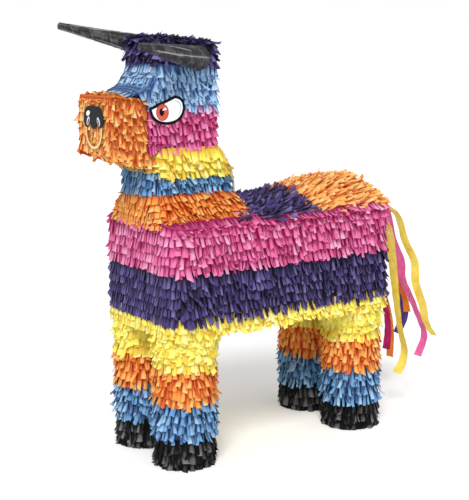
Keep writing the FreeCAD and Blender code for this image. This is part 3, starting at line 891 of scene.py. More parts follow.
# --- body
@dataclass
class Barrel:
    """Tissue of the body: pink over purple over yellow, with a purple saddle and an orange rump."""

    back: BackCurve = field(default_factory=BackCurve)
    corner: float = 22 * MM
    flap_half: float = 40.3 * MM
    flap_top: float = 234 * MM
    flap_bottom: float = 186 * MM
    leg_clear: float = 35.5 * MM
    leg_side: float = 47.25 * MM
    leg_fore: float = 131 * MM

    def __post_init__(self) -> None:
        """Read the bands from the frame."""
        low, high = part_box("left_flank_panel")
        self.half_width = high.x
        self.half_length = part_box("rump_panel")[1].y
        self.belly = low.z
        self.purple_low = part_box("purple_body_fringe")[0].z
        self.pink_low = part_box("pink_body_fringe")[0].z
        self.outline = Outline(self.half_width, -self.half_length, self.half_length, self.corner)

    def _over_edge(self, points: np.ndarray) -> np.ndarray:
        """Root points above the walls."""
        return points[:, 2] > self.back.height(points[:, 0], points[:, 1]) + 1 * MM

    def _on_flap(self, points: np.ndarray) -> np.ndarray:
        """Root points that belong to the fill flap's rows."""
        return ((points[:, 0] < -self.half_width + 4 * MM) & (np.abs(points[:, 1]) < self.flap_half)
                & (points[:, 2] > self.flap_bottom) & (points[:, 2] < self.flap_top))

    def _on_overhang(self, points: np.ndarray) -> np.ndarray:
        """Root points of the row that hangs over the flap's hinge."""
        return ((points[:, 0] < -self.half_width + 4 * MM) & (np.abs(points[:, 1]) < self.flap_half)
                & (points[:, 2] >= self.flap_top) & (points[:, 2] < self.flap_top + PITCH))

    def pink(self) -> None:
        """Pink rows round the flanks, chest and rump."""
        rows = Fringe(11, Cut(width=6.4, gap=0.2))
        for height in roots(self.pink_low, self.back.edge + 20 * MM):
            rows.ring(self.outline.course(height, 0.05), self._over_edge)
        rows.lay(self.outline.course(lambda x, y: self.back.height(x, y) + 1.0 * MM, 0.05),
                 Cut(width=6.0, length=10, header=7, lift=2.2, sway=0.16))
        shoulder = Cut(width=5.8, gap=0.2, header=8, lift=2.2, sway=0.12)
        for across, front, rear, rise, length in ((50, -160, -46, 7, 20), (69.5, -160, -40, 4, 19),
                                                  (75, -44, 162, 2.6, 15)):
            for side in (1, -1):
                course = self.back.flank_row(side * across * MM, *((front * MM, rear * MM)[::-side]))
                course.line[:, 2] += rise * MM
                course.fall = unit(course.fall * np.array([1.0, 0.0, 0.0]) - np.array([0.0, 0.0, 0.7]))
                course.out = unit(np.array([side * 0.7, 0.0, 1.0]) + 0 * course.out)
                rows.lay(course, replace(shoulder, length=length))
        rows.build("pink_body_tissue", Paint.PINK, "pink_body_fringe")

    def purple(self) -> None:
        """Purple rows, left out over the fill flap."""
        rows = Fringe(12, Cut(width=5.0, gap=0.22, sway=0.12))
        for height in roots(self.purple_low, self.pink_low + 3 * MM):
            rows.ring(self.outline.course(height, 0.04),
                      lambda points: self._on_flap(points) | self._on_overhang(points))
        rows.build("purple_body_tissue", Paint.PURPLE, "purple_body_fringe")

    def _near_leg(self, points: np.ndarray) -> np.ndarray:
        """Root points inside a leg."""
        across, along = np.abs(points[:, 0]) - self.leg_side, np.abs(points[:, 1]) - self.leg_fore
        return np.hypot(across, along) < self.leg_clear

    def yellow(self) -> None:
        """Yellow rows under the purple and across the belly."""
        rows = Fringe(13, Cut(width=6.2, lift=2.6))
        for height in (self.belly + 11 * MM, self.belly + 19 * MM):
            rows.ring(self.outline.course(height, 0.03))
        for along in np.arange(-self.half_length + 2 * MM, self.half_length - 12 * MM, 11.5 * MM):
            across = np.linspace(-self.half_width + 3 * MM, self.half_width - 3 * MM, 60)
            line = join(across, along, self.belly)
            out = (0.0, 0.0, -1.0)
            fall = (0.0, 1.0, 0.0)
            rows.lay(Course(line, out, fall), Cut(lift=2.2, curl=0.8, stray=0.0), self._near_leg)
        rows.build("yellow_belly_tissue", Paint.YELLOW, "yellow_belly_fringe")

    def saddle(self) -> None:
        """Purple saddle with its tabs pointing to the rear."""
        rows = Fringe(14, Cut(width=6.0, length=16, gap=0.2, sway=0.35, lift=3.4,
                              cup=1.6, curl=2.4, stray=0.03))
        wide = self.half_width - 4 * MM
        for along in np.arange(33, -60, -11.0) * MM:
            rows.lay(self.back.row(along, wide, -wide, 4 * MM))
        for along in (-68 * MM, -79 * MM):
            for side in (1, -1):
                rows.lay(self.back.row(along, side * (wide if side > 0 else 56 * MM),
                                       side * (56 * MM if side > 0 else wide)))
        rows.build("saddle_tissue", Paint.PURPLE, "saddle_fringe")

    def rump(self) -> None:
        """Orange shingles from the saddle to the tail."""
        rows = Fringe(15, Cut(width=5.0, length=18, gap=0.22, sway=0.22, lift=2.8, stray=0.03))
        for along in np.arange(160, 38, -10.0) * MM:
            past = max(0.0, along - self.half_length + self.corner)
            wide = self.half_width - 4 * MM - self.corner + math.sqrt(self.corner ** 2 - past ** 2)
            course = self.back.row(along, wide, -wide, 1 * MM)
            down = float(smooth_share(along, 138 * MM, 160 * MM))
            course.line[:, 2] += 1.5 * MM * down
            course.fall = unit(course.fall - np.array([0, 0, 0.25]) * down)
            rows.lay(course, replace(rows.cut, length=18 - 6 * down, header=13 - 6 * down))
        # The rump takes the painted-light copy of the orange tissue.
        rows.build("rump_tissue", Paint.PAINTED_LIGHT_ORANGE, "rump_fringe")

    def flap(self) -> None:
        """Purple rows on the fill flap and the row that hides its hinge."""
        rows = Fringe(16, Cut(width=5.0, gap=0.22, lift=2.4))
        for height in roots(self.purple_low, self.pink_low + 3 * MM)[:4]:
            rows.lay(self.outline.course(min(height, 226 * MM), 0.04),
                     skip=lambda points: ~self._on_flap(points))
        rows.build("flap_tissue", Paint.PURPLE, "fill_flap_fringe", body=Body.FLAP)
        row = Fringe(17, Cut(width=5.0, length=13, gap=0.22, lift=2.0, curl=0.6, header=9))
        height = roots(self.purple_low, self.pink_low + 3 * MM)[4]
        row.lay(self.outline.course(height, 0.04), skip=lambda points: ~self._on_overhang(points))
        piece = row.build("flap_hinge_tissue", Paint.PURPLE, body=None)
        hinge = (-self.half_width, 0.0)
        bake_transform(piece)

    def build(self) -> None:
        """Dress the whole body."""
        self.pink()
        self.purple()
        self.yellow()
        self.saddle()
        self.rump()
        self.flap()


# --- legs
@dataclass
class Leg:
    """One card tube with four bands of tissue."""

    name: str
    seed: int = 0

    def _around(self, node: str, grow: float = 0.0) -> tuple[Outline, float, float]:
        """Circle round the tube, with the band's foot and top.

        Args:
            node: Name of the band.
            grow: How far outside the tube it runs.

        Returns:
            The circle, and the heights of the band's foot and top.
        """
        low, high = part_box(node)
        tube_low, tube_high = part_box("leg_tube_" + self.name)
        radius = (tube_high.x - tube_low.x) / 2 + grow
        self.centre = (tube_low + tube_high) / 2
        return Outline(radius, -radius, radius, radius - 1e-5), low.z, high.z

    def _moved(self, course: Course) -> Course:
        """Row carried from the origin to the leg."""
        course.line[:, 0] += self.centre.x
        course.line[:, 1] += self.centre.y
        return course

    def band(self, words: str, paint: Paint, cut: Cut, over: float = 3 * MM) -> None:
        """Rows of one colour."""
        node = f"{words}_fringe_{self.name}"
        circle, low, high = self._around(node)
        rows = Fringe(self.seed * 10 + len(words), cut)
        low -= 3 * MM if words.startswith("foot") else 0.0
        for height in roots(low, high + over):
            rows.lay(self._moved(circle.course(height, 0.03)))
        if words.startswith("thigh"):
            self._gusset(rows, circle, high)
        rows.build(f"{words}_tissue_{self.name}", paint, node)

    def _gusset(self, rows: Fringe, circle: Outline, top: float) -> None:
        """Tabs that run from the belly's underside down onto the tube.

        Args:
            rows: Fringe that takes the tabs in.
            circle: Circle round the tube.
            top: Height that they start from.
        """
        inward = -math.copysign(1.0, self.centre.y)
        for share, height in ((1.0, top + 4 * MM), (0.62, top - 3 * MM), (0.25, top - 10 * MM)):
            course = circle.course(height, 0.0)
            facing = np.clip(course.out[:, 1] * inward, 0, 1)
            grow = 15 * MM * share * facing ** 0.7
            course.line[:, :2] += course.out[:, :2] * grow[:, None]
            slope = 0.9 * facing[:, None] * share
            course.fall = unit(course.fall - course.out * slope)
            course.out = unit(course.out - np.array([0, 0, 1.0]) * slope)
            rows.lay(self._moved(course))

    def build(self) -> None:
        """Dress the leg from the foot up."""
        self.band("foot_black", Paint.BLACK, Cut(width=7.0, lift=2.2, curl=0.8, stray=0.0))
        self.band("shin_blue", Paint.BLUE, Cut(width=5.0, gap=0.24, sway=0.16, curl=1.8))
        self.band("knee_orange", Paint.ORANGE, Cut(width=5.6, gap=0.2, sway=0.16))
        self.band("thigh_yellow", Paint.YELLOW, Cut(width=6.4), 2 * MM)


# --- neck
@dataclass
class Neck:
    """Orange, blue and yellow rows between the shoulders and the head."""

    corner: float = 18 * MM

    def __post_init__(self) -> None:
        """Read the tube from the frame."""
        low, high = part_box("neck_tube")
        self.outline = Outline(high.x + 1.5 * MM, low.y - 1 * MM, high.y + 0.8 * MM, self.corner)
        self.front, self.rear = low.y, high.y

    def _ahead(self, along: np.ndarray) -> np.ndarray:
        """One at the chest side of the neck and nought behind it."""
        return smooth_share(along, self.front + 22 * MM, self.front + 2 * MM)

    def _nape(self, along: np.ndarray) -> np.ndarray:
        """Height of the neck's top."""
        return np.interp(along, [self.front, self.front + 7 * MM, self.rear - 23.5 * MM, self.rear],
                         [363 * MM, 374 * MM, 377 * MM, 353 * MM])

    def orange(self) -> None:
        """Orange ring and the skirt that spreads over the shoulders."""
        rows = Fringe(21, Cut(width=5.0, length=16, gap=0.24, sway=0.1, lift=3.4, cup=1.4))
        for grow, height in ((21, 302.5), (16.5, 309), (11.5, 315.5), (6.5, 322), (1.5, 328.5)):
            skirt = Outline(self.outline.half_width + grow * MM, self.front - 1.2 * MM,
                            self.rear + 0.6 * grow * MM, self.corner + 0.2 * grow * MM)
            course = skirt.course(lambda x, y, up=height: up * MM + 1 * MM * self._ahead(y), 0.0,
                                  lambda x, y, short=grow > 20: 1 - 0.35 * short * (1 - self._ahead(y)))
            level_out = course.out.copy()
            aside, behind = np.abs(level_out[:, :1]), np.clip(level_out[:, 1:2], 0, 1)
            leaning = 0.78 * np.clip(aside + 0.7 * behind, 0, 1)
            course.out = level_out + np.array([0.0, 0.0, 1.0]) * leaning
            course.fall = course.fall + level_out * leaning
            rows.ring(course, level=-0.5, width=6.0)
        rows.build("neck_orange_tissue", Paint.ORANGE, "neck_orange_fringe")

    def blue(self) -> None:
        """Blue band, taller at the front."""
        rows = Fringe(22, Cut(width=4.2, length=16, gap=0.24, sway=0.13, lift=3.2))
        for level, front_level in ((343, 341), (351, 352), (354, 362)):
            rows.ring(self.outline.course(
                lambda x, y, low=level, high=front_level: np.minimum(
                    (low + (high - low) * self._ahead(y)) * MM, self._nape(y) + 2 * MM), 0.12), width=6.0)
        rows.build("neck_blue_tissue", Paint.BLUE, "neck_blue_fringe")

    def collar(self) -> None:
        """Yellow collar under the head."""
        rows = Fringe(23, Cut(width=6.4, length=15.5, gap=0.16, sway=0.13, lift=3.0))
        grown = Outline(self.outline.half_width + 1 * MM, self.front, self.rear + 1 * MM, self.corner)
        for level in (360, 370, 380):
            rows.lay(grown.course(
                lambda x, y, top=level: np.minimum(top, self._nape(y) / MM + 3 + (top - 370) * 0.3) * MM,
                0.16, lambda x, y: 1 - 0.55 * self._ahead(y)),
                skip=None if level < 365 else lambda points: points[:, 1] > self.rear - 14 * MM)
        for along, up in ((-82, 379), (-74, 372), (-66, 364)):
            across = np.linspace(36, -36, 36) * MM
            line = join(across, along * MM, up * MM)
            slope = (0.0, 0.68, -0.73)
            facing = (0.0, 0.73, 0.68)
            rows.lay(Course(line, facing, slope))
        rows.build("collar_tissue", Paint.YELLOW, "collar_yellow_fringe")

    def build(self) -> None:
        """Dress the neck."""
        self.orange()
        self.blue()
        self.collar()


# --- head
@dataclass
class Head:
    """Pink cheeks, blue brow, purple crown and an orange muzzle."""

    corner: float = 1.5 * MM
    grow: float = 0.8 * MM
    brow: float = 473 * MM
    bridge: float = 446 * MM
    brow_front: float = -156.5 * MM
    bridge_front: float = -171 * MM
    jaw_line: float = -173 * MM
    crown_rear: float = 503 * MM
    eye_centre: tuple[float, float] = (-148.5 * MM, 426.5 * MM)
    eye_reach: tuple[float, float] = (27 * MM, 18.5 * MM)
    fillet: tuple[tuple[float, float, float], ...] = (
        (-188, 445, 0.88), (-182, 447, 0.8), (-176, 449.5, 0.68), (-170.5, 452.5, 0.55), (-166, 459, 0.45),
        (-162, 467, 0.35))
    eye_level: float = 40.8 * MM
    nose_level: float = 223.2 * MM

    def __post_init__(self) -> None:
        """Read the shells from the frame."""
        low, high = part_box("head_shell")
        self.half_width, self.rear = high.x + self.grow, high.y + self.grow
        self.crown_top = high.z
        low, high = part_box("snout_shell")
        self.snout_half, self.snout_front = high.x + 1.5 * MM, low.y
        self.snout_low, self.snout_high = low.z, high.z

    def _front(self, height: float) -> float:
        """Place of the face at a height."""
        front = np.interp(height, [self.bridge, self.brow], [self.bridge_front, self.brow_front])
        return float(front) - self.grow

    def _ring(self, height: float, flare: float = 0.05) -> Course:
        """Row round the head whose front tabs follow the brow's slope.

        Args:
            height: Height of the row.
            flare: How far the tabs stand out.

        Returns:
            The row.
        """
        drop = 10 * MM
        here, there = (Outline(self.half_width, self._front(level), self.rear, self.corner)
                       for level in (height, height - drop))
        course = here.course(height, flare)
        below = there.trace()[0][:, 1]
        where, other = (np.linspace(0, 1, len(points)) for points in (course.line, below))
        moved = np.interp(where, other, below) - course.line[:, 1]
        ahead = smooth_share(course.out[:, 1], -0.4, -0.9)
        course.fall[:, 1] += ahead * moved / drop
        course.out[:, 2] -= ahead * moved / drop
        return course

    def _side_rows(self, rows: Fringe, height: Callable[[np.ndarray], np.ndarray]) -> None:
        """Row round the cheeks and the back of the head, open at the muzzle.

        Args:
            rows: Fringe that takes the row in.
            height: Height of the row at each place along the head.
        """
        outline = Outline(self.half_width, self.jaw_line - 12 * MM, self.rear, self.corner)
        course = outline.course(lambda x, y: height(y), 0.05)
        front = course.line[:, 1] < self.jaw_line - 1.5 * MM
        rows.lay(course.part(0, int(np.argmax(front))))
        rows.lay(course.part(len(front) - int(np.argmax(front[::-1])), None))

    def _under_eye(self, points: np.ndarray) -> np.ndarray:
        """Vertices behind an eye sticker."""
        along = (points[:, 1] - self.eye_centre[0]) / self.eye_reach[0]
        up = (points[:, 2] - self.eye_centre[1]) / self.eye_reach[1]
        return along ** 2 + up ** 2 < 1.15

    def _press_eyes(self, rows: Fringe) -> None:
        """Flatten the tissue behind both eyes."""
        for sign in (1.0, -1.0):
            rows.press(self._under_eye, 0, sign, self.eye_level)

    def cheeks(self) -> None:
        """Pink rows."""
        rows = Fringe(31, Cut(width=6.2, gap=0.2, length=15, lift=2.6))
        for level in (390, 401, 412, 423, 430):
            self._side_rows(rows, lambda y, up=level: (up + 6 * smooth_share(y, -0.15, -0.08)) * MM)
        self._press_eyes(rows)
        rows.build("cheek_tissue", Paint.PINK, "cheek_pink_fringe")

    def blue(self) -> None:
        """Blue rows round the head and down the brow."""
        rows = Fringe(32, Cut(width=4.8, length=15.5, gap=0.24, sway=0.17, lift=2.8, curl=1.0))
        for level in (440, 450):
            self._side_rows(rows, lambda y, up=level: (up - 3 * smooth_share(y, -0.15, -0.08)) * MM)
        pressed = {"width": 6.8, "length": 11.5, "gap": 0.12, "lift": 1.5}
        smooth = rows.cut.neat(**pressed)
        for level in (448, 456, 464, 472, 480):
            rows.ring(self._ring(level * MM), **pressed)
        across = np.linspace(self.half_width - 2 * MM, 2 * MM - self.half_width, 40)
        for along, up, lean in self.fillet:
            arch = 3.5 * MM * (1 - (across / self.half_width) ** 2) * (up < 450)
            upright = math.sqrt(1 - lean ** 2)
            rows.lay(Course(join(across, along * MM, up * MM + arch)[::-1], (0.0, -upright, lean),
                            (0.0, -lean, -upright)), smooth)
        along = np.linspace(-184, -160, 20) * MM
        places, heights, _ = np.array(self.fillet).T * MM
        up = np.interp(along, places, heights)
        for sign in (1, -1):
            line = join(sign * (self.half_width - 1.5 * MM), along, up)[::sign]
            rows.lay(Course(line, (sign, 0.0, 0.0), (0.0, 0.4, -0.92)),
                     replace(smooth, length=10, header=2))
        self._press_eyes(rows)
        # The brow takes the painted-light copy of the blue tissue.
        rows.build("brow_tissue_painted_light", Paint.PAINTED_LIGHT_BLUE, "brow_blue_fringe")

    def crown(self) -> None:
        """Purple rows round the top and over it."""
        rows = Fringe(33, Cut(width=6.0, length=13, gap=0.2, sway=0.34, ragged=0.2, lift=2.4,
                              cup=1.6, twist=1.6, curl=1.6, stray=0.0))
        flat = replace(rows.cut, length=12, lift=1.4, cup=1.0, curl=1.2)
        slope = (self.crown_top - self.crown_rear) / (self.brow_front - self.rear)

        def top(along: np.ndarray) -> np.ndarray:
            """Height of the crown."""
            return self.crown_rear + slope * (along - self.rear)

        outline = Outline(self.half_width, self.brow_front - self.grow, self.rear, self.corner)
        for drop in (17, 9, 1):
            rows.lay(outline.course(lambda x, y, low=drop: top(y) - low * MM, 0.08))
        for along in np.arange(-94, -158, -9.0) * MM:
            across = np.linspace(self.half_width, -self.half_width, 40)
            line = join(across, along, float(top(along)))
            rows.lay(Course(line, (0.0, 0.0, 1.0), (0.0, 1.0, slope)), flat)
        side = np.linspace(self.rear - 4 * MM, self.brow_front + 3 * MM, 40)
        level = np.linspace(self.half_width - 3 * MM, 3 * MM - self.half_width, 40)
        for across, along, way in ((self.half_width - 5 * MM, side, (0.7, 0.0)),
                                   (5 * MM - self.half_width, side[::-1], (-0.7, 0.0)),
                                   (-level, self.brow_front + 5 * MM, (0.0, -0.7)),
                                   (level, self.rear - 5 * MM, (0.0, 0.7))):
            rows.lay(Course(join(across, along, top(along) + 1.6 * MM), (0.7 * way[0], 0.7 * way[1], 0.7),
                            (*way, -0.5)), replace(rows.cut, header=5, sway=0.5 - 0.25 * (way[1] > 0)))
        rows.build("crown_tissue", Paint.PURPLE, "crown_purple_fringe")

    def _muzzle_low(self, along: np.ndarray) -> np.ndarray:
        """Height of the muzzle's underside."""
        return np.interp(along, [self.snout_front, -168 * MM], [380 * MM, self.snout_low])

    def _muzzle_high(self, along: np.ndarray) -> np.ndarray:
        """Height of the muzzle's top."""
        return np.interp(along, [self.snout_front, -168 * MM], [self.snout_high, 436 * MM])

    def muzzle(self) -> None:
        """Orange flakes on the muzzle's sides and smooth rows on its front."""
        flakes = Cut(width=5.8, length=12, gap=0.16, sway=0.26, ragged=0.2, lift=2.6, cup=1.4,
                     twist=1.7, curl=1.9, stray=0.02)
        flat = Cut(width=6.4, length=13, gap=0.08, sway=0.04, lift=1.3, cup=0.5,
                   twist=0.4, curl=0.4, stray=0.0)
        rows = Fringe(34, flakes)
        for sign in (1, -1):
            for level in (374, 383, 393, 403, 413, 423, 433, 443):
                reach = max(1.5, 9 - 0.45 * (level - 374)) * MM
                along = np.linspace(self.jaw_line + reach, self.snout_front - 2 * MM, 30)
                up = np.clip(level * MM, self._muzzle_low(along) + 8 * MM, self._muzzle_high(along))
                line = join(sign * self.snout_half, along, up)[::-sign]
                rows.lay(Course(line, (sign, 0.0, 0.0), (0.0, -0.15, -1.0)))
            along = np.linspace(self.jaw_line - 2 * MM, self.snout_front + 3 * MM, 30)
            line = join(sign * (self.snout_half - 2.5 * MM), along, self._muzzle_high(along) + 1.8 * MM)
            rows.lay(Course(line[::-sign], (0.6 * sign, 0.0, 0.8), (0.8 * sign, -0.1, -0.6)),
                     replace(flakes, length=9, lift=1.6, header=2, sway=0.22, stray=0.0))
        across = np.linspace(-self.snout_half - 1.5 * MM, self.snout_half + 1.5 * MM, 30)
        for level in (391, 400, 409, 418, 427, 436, 442):
            line = join(across, self.snout_front - 0.6 * MM, level * MM)
            rows.lay(Course(line, (0.0, -1.0, 0.0), (0.0, 0.0, -1.0)),
                     replace(flat, header=1.5) if level > 440 else flat)
        for along, lean in ((-213, -0.75), (-206, 0.0), (-198, 0.1), (-191, 0.1)):
            up = float(self._muzzle_high(np.array(along * MM)))
            arch = 4.0 * MM * (1 - (across / self.snout_half) ** 2) * float(smooth_share(along, -214, -200))
            line = join(across * 0.97, along * MM, up + arch)
            rows.lay(Course(line, (0.0, min(0.0, lean), 1.0), (0.0, -1.0, lean)),
                     Cut(width=6.4, length=12, sway=0.25, lift=1.8, cup=1.1, curl=1.0,
                         header=3 if lean < 0 else 12))
        for along in (-216, -206, -196, -186, -176):
            up = float(self._muzzle_low(np.array(along * MM)))
            line = join(across[::-1], along * MM, up)
            rows.lay(Course(line, (0.0, -0.33, -0.94), (0.0, 0.94, -0.33)),
                     Cut(width=6.4, length=13, sway=0.22, lift=2.6, cup=1.2, curl=1.0))
        rows.press(lambda points: (np.abs(points[:, 0]) < 25 * MM) & (points[:, 2] > 381 * MM)
                   & (points[:, 2] < 434 * MM), 1, -1.0, self.nose_level)
        # The muzzle takes the painted-light copy of the orange tissue.
        rows.build("muzzle_tissue_painted_light", Paint.PAINTED_LIGHT_ORANGE, "snout_orange_fringe")

    def build(self) -> None:
        """Dress the head."""
        self.cheeks()
        self.blue()
        self.crown()
        self.muzzle()


# --- horns
@dataclass
class Horn:
    """Card cone wrapped in creased black crepe, rounded off behind the head."""

    side: str
    base: Vector
    tip: Vector
    base_radius: float = 15.4 * MM
    tip_radius: float = 4.4 * MM
    dome: float = 5.5 * MM
    around: int = 120
    along: int = 150
    seed: int = 0

    def build(self) -> bpy.types.Object:
        """Make the wrapped horn.

        Returns:
            The finished piece.
        """
        axis = (self.tip - self.base).normalized()
        up = Vector((0, 0, 1))
        across = np.array(axis.cross(up).normalized())
        over = np.array(Vector(across).cross(axis).normalized())
        axis_row = np.array(axis)
        length = (self.tip - self.base).length
        draw = np.random.default_rng(self.seed)
        creases = [(draw.uniform(0, 2 * math.pi), draw.uniform(-1.6, 1.6), draw.uniform(0.0, 0.5),
                    draw.uniform(0.5, 1.0), draw.choice([-1.0, 1.0]) * draw.uniform(0.35, 0.9) * MM)
                   for _ in range(16)]
        turn = np.linspace(0, 2 * math.pi, self.around, endpoint=False)[None, :]
        share = np.concatenate([np.linspace(-1, 0, 12)[:-1], np.linspace(0, 1, self.along)])[:, None]
        body = np.clip(share, 0, 1)
        radius = self.base_radius + (self.tip_radius - self.base_radius) * body ** 0.93
        radius = radius * np.sqrt(np.clip(1 - np.clip(-share, 0, 1) ** 2, 0.0004, 1))
        place = np.where(share < 0, share * self.dome, share * length)
        wrap = np.mod(body * 5.2 + turn / (2 * math.pi), 1.0)
        relief = 0.5 * MM * (wrap - 0.5) * np.clip(1 - np.clip(-share, 0, 1) * 1.5, 0, 1)
        # Painted highlight along the wrap seams, drawn in the horn material's light colour.
        ridge_highlight = 0.35 * smooth_share(np.abs(wrap - 0.5), 0.47, 0.5)
        for angle, drift, start, end, depth in creases:
            off = np.angle(np.exp(1j * (turn - angle - drift * body)))
            window = smooth_share(body, start - 0.1, start + 0.05) * smooth_share(body, end + 0.1, end)
            relief = relief + depth * np.exp(-(off * radius / (1.6 * MM)) ** 2) * window
            # Painted highlight along each outward crease.
            ridge_highlight = ridge_highlight + np.exp(-(off * radius / (0.55 * MM)) ** 2) * window * (depth > 0)
        ripple = np.sin(turn * 7 + body * 23 + np.sin(body * 41)) * np.sin(body * 67 + turn * 3) * 0.22 * MM
        full = np.clip(radius / self.base_radius, 0.15, 1)
        radius = radius + (relief + ripple) * full
        points = (np.array(self.base)[None, None] + axis_row * place[..., None]
                  + across * (np.cos(turn) * radius * 1.02)[..., None]
                  + over * (np.sin(turn) * radius * 0.94)[..., None])
        rings = points.shape[0]
        flat = points.reshape(-1, 3)
        index = np.arange(rings * self.around).reshape(rings, self.around)
        after = np.roll(index, -1, axis=1)
        faces = np.stack([index[:-1], after[:-1], after[1:], index[1:]], axis=-1).reshape(-1, 4).tolist()
        end = np.array(self.tip) + axis_row * 1.5 * MM
        flat = np.concatenate([flat, [end]])
        faces += [[int(index[-1, step]), int(after[-1, step]), len(flat) - 1] for step in range(self.around)]
        faces.append([int(number) for number in index[0][::-1]])
        lay = join(turn * 12 * MM, place * 1.0, 0.0).reshape(-1, 3)
        lay = np.concatenate([lay, lay[-1:]])
        ridge_highlight = np.append(np.clip(ridge_highlight, 0, 1).ravel(), 0.0)
        return add_piece(f"{self.side}_horn_wrap", flat, faces, [Paint.HORN], Body.CARCASS,
                         [f"{self.side}_horn_cover", f"{self.side}_horn_cone"],
                         marks={"lay": lay, "ridge_highlight": ridge_highlight})


# --- stickers
@dataclass
class Layer:
    """One printed shape of a sticker: its outline on the sticker's plane, and its ink."""

    outline: np.ndarray
    paint: Paint
    height: float


class Sticker:
    """Printed plate built up from thin shapes."""

    def __init__(self, place: Callable[[np.ndarray, float], np.ndarray]) -> None:
        """Keep the function that carries plane points and a height into the row frame."""
        self.place = place
        self.layers: list[Layer] = []

    def add(self, outline: Sequence[Sequence[float]], paint: Paint, level: int) -> None:
        """Add one shape, standing a hair above the shape of the level below."""
        self.layers.append(Layer(np.asarray(outline, float), paint, (0.45 + 0.09 * level) * MM))

    def build(self, name: str, replaced: str) -> bpy.types.Object:
        """Make the piece.

        Args:
            name: Name of the piece.
            replaced: The node that it stands for.

        Returns:
            The finished piece.
        """
        points: list[np.ndarray] = []
        faces: list[list[int]] = []
        picks: list[int] = []
        paints = list(dict.fromkeys(layer.paint for layer in self.layers))
        start = 0
        for layer in self.layers:
            count = len(layer.outline)
            points += [self.place(layer.outline, 0.0), self.place(layer.outline, layer.height)]
            top = [start + count + step for step in range(count)]
            bottom = [start + step for step in range(count)]
            faces += [top, bottom[::-1]]
            faces += [[bottom[step], bottom[(step + 1) % count], top[(step + 1) % count], top[step]]
                      for step in range(count)]
            picks += [paints.index(layer.paint)] * (count + 2)
            start += 2 * count
        piece = add_piece(name, np.concatenate(points), faces, paints, Body.CARCASS, [replaced], picks)
        piece.data.shade_flat()
        return piece


def bow(start: Sequence[float], through: Sequence[float], end: Sequence[float],
        count: int = 16) -> np.ndarray:
    """Points of a bowed side from start up to end, without its last point.

    Args:
        start: First end of the side.
        through: Place that it bows through.
        end: Its other end.
        count: How many points it gets.

    Returns:
        The points.
    """
    first, middle, last = (np.asarray(point, float) for point in (start, through, end))
    handle = 2 * middle - (first + last) / 2
    share = np.linspace(0, 1, count, endpoint=False)[:, None]
    return (1 - share) ** 2 * first + 2 * share * (1 - share) * handle + share ** 2 * last


def bowed(ends: Sequence[Sequence[float]], through: Sequence[Sequence[float]]) -> np.ndarray:
    """Closed outline of bowed sides, each from one end to the next."""
    return np.concatenate([bow(*side) for side in zip(ends, through, [*ends[1:], ends[0]])])


def oval(centre: Sequence[float], half_width: float, half_height: float, lean: float = 0.0,
         count: int = 40) -> np.ndarray:
    """Points of an ellipse on a plane.

    Args:
        centre: Middle of the ellipse.
        half_width: Half of its width.
        half_height: Half of its height.
        lean: Turn of the ellipse.
        count: How many points it gets.

    Returns:
        The closed outline.
    """
    turn = np.linspace(0, 2 * math.pi, count, endpoint=False)
    across, up = half_width * np.cos(turn), half_height * np.sin(turn)
    return np.column_stack([centre[0] + across * math.cos(lean) - up * math.sin(lean),
                            centre[1] + across * math.sin(lean) + up * math.cos(lean)])


def shrink(outline: np.ndarray, margin: float) -> np.ndarray:
    """Outline moved inwards by a margin; it runs against the clock or with it.

    Args:
        outline: The outline to move.
        margin: How far it moves inwards.

    Returns:
        The smaller outline.
    """
    ahead = np.roll(outline, -1, axis=0) - np.roll(outline, 1, axis=0)
    inward = unit(np.column_stack([-ahead[:, 1], ahead[:, 0]]))
    area = np.sum(outline[:, 0] * np.roll(outline[:, 1], -1) - np.roll(outline[:, 0], -1) * outline[:, 1])
    return outline + inward * margin * math.copysign(1.0, area)


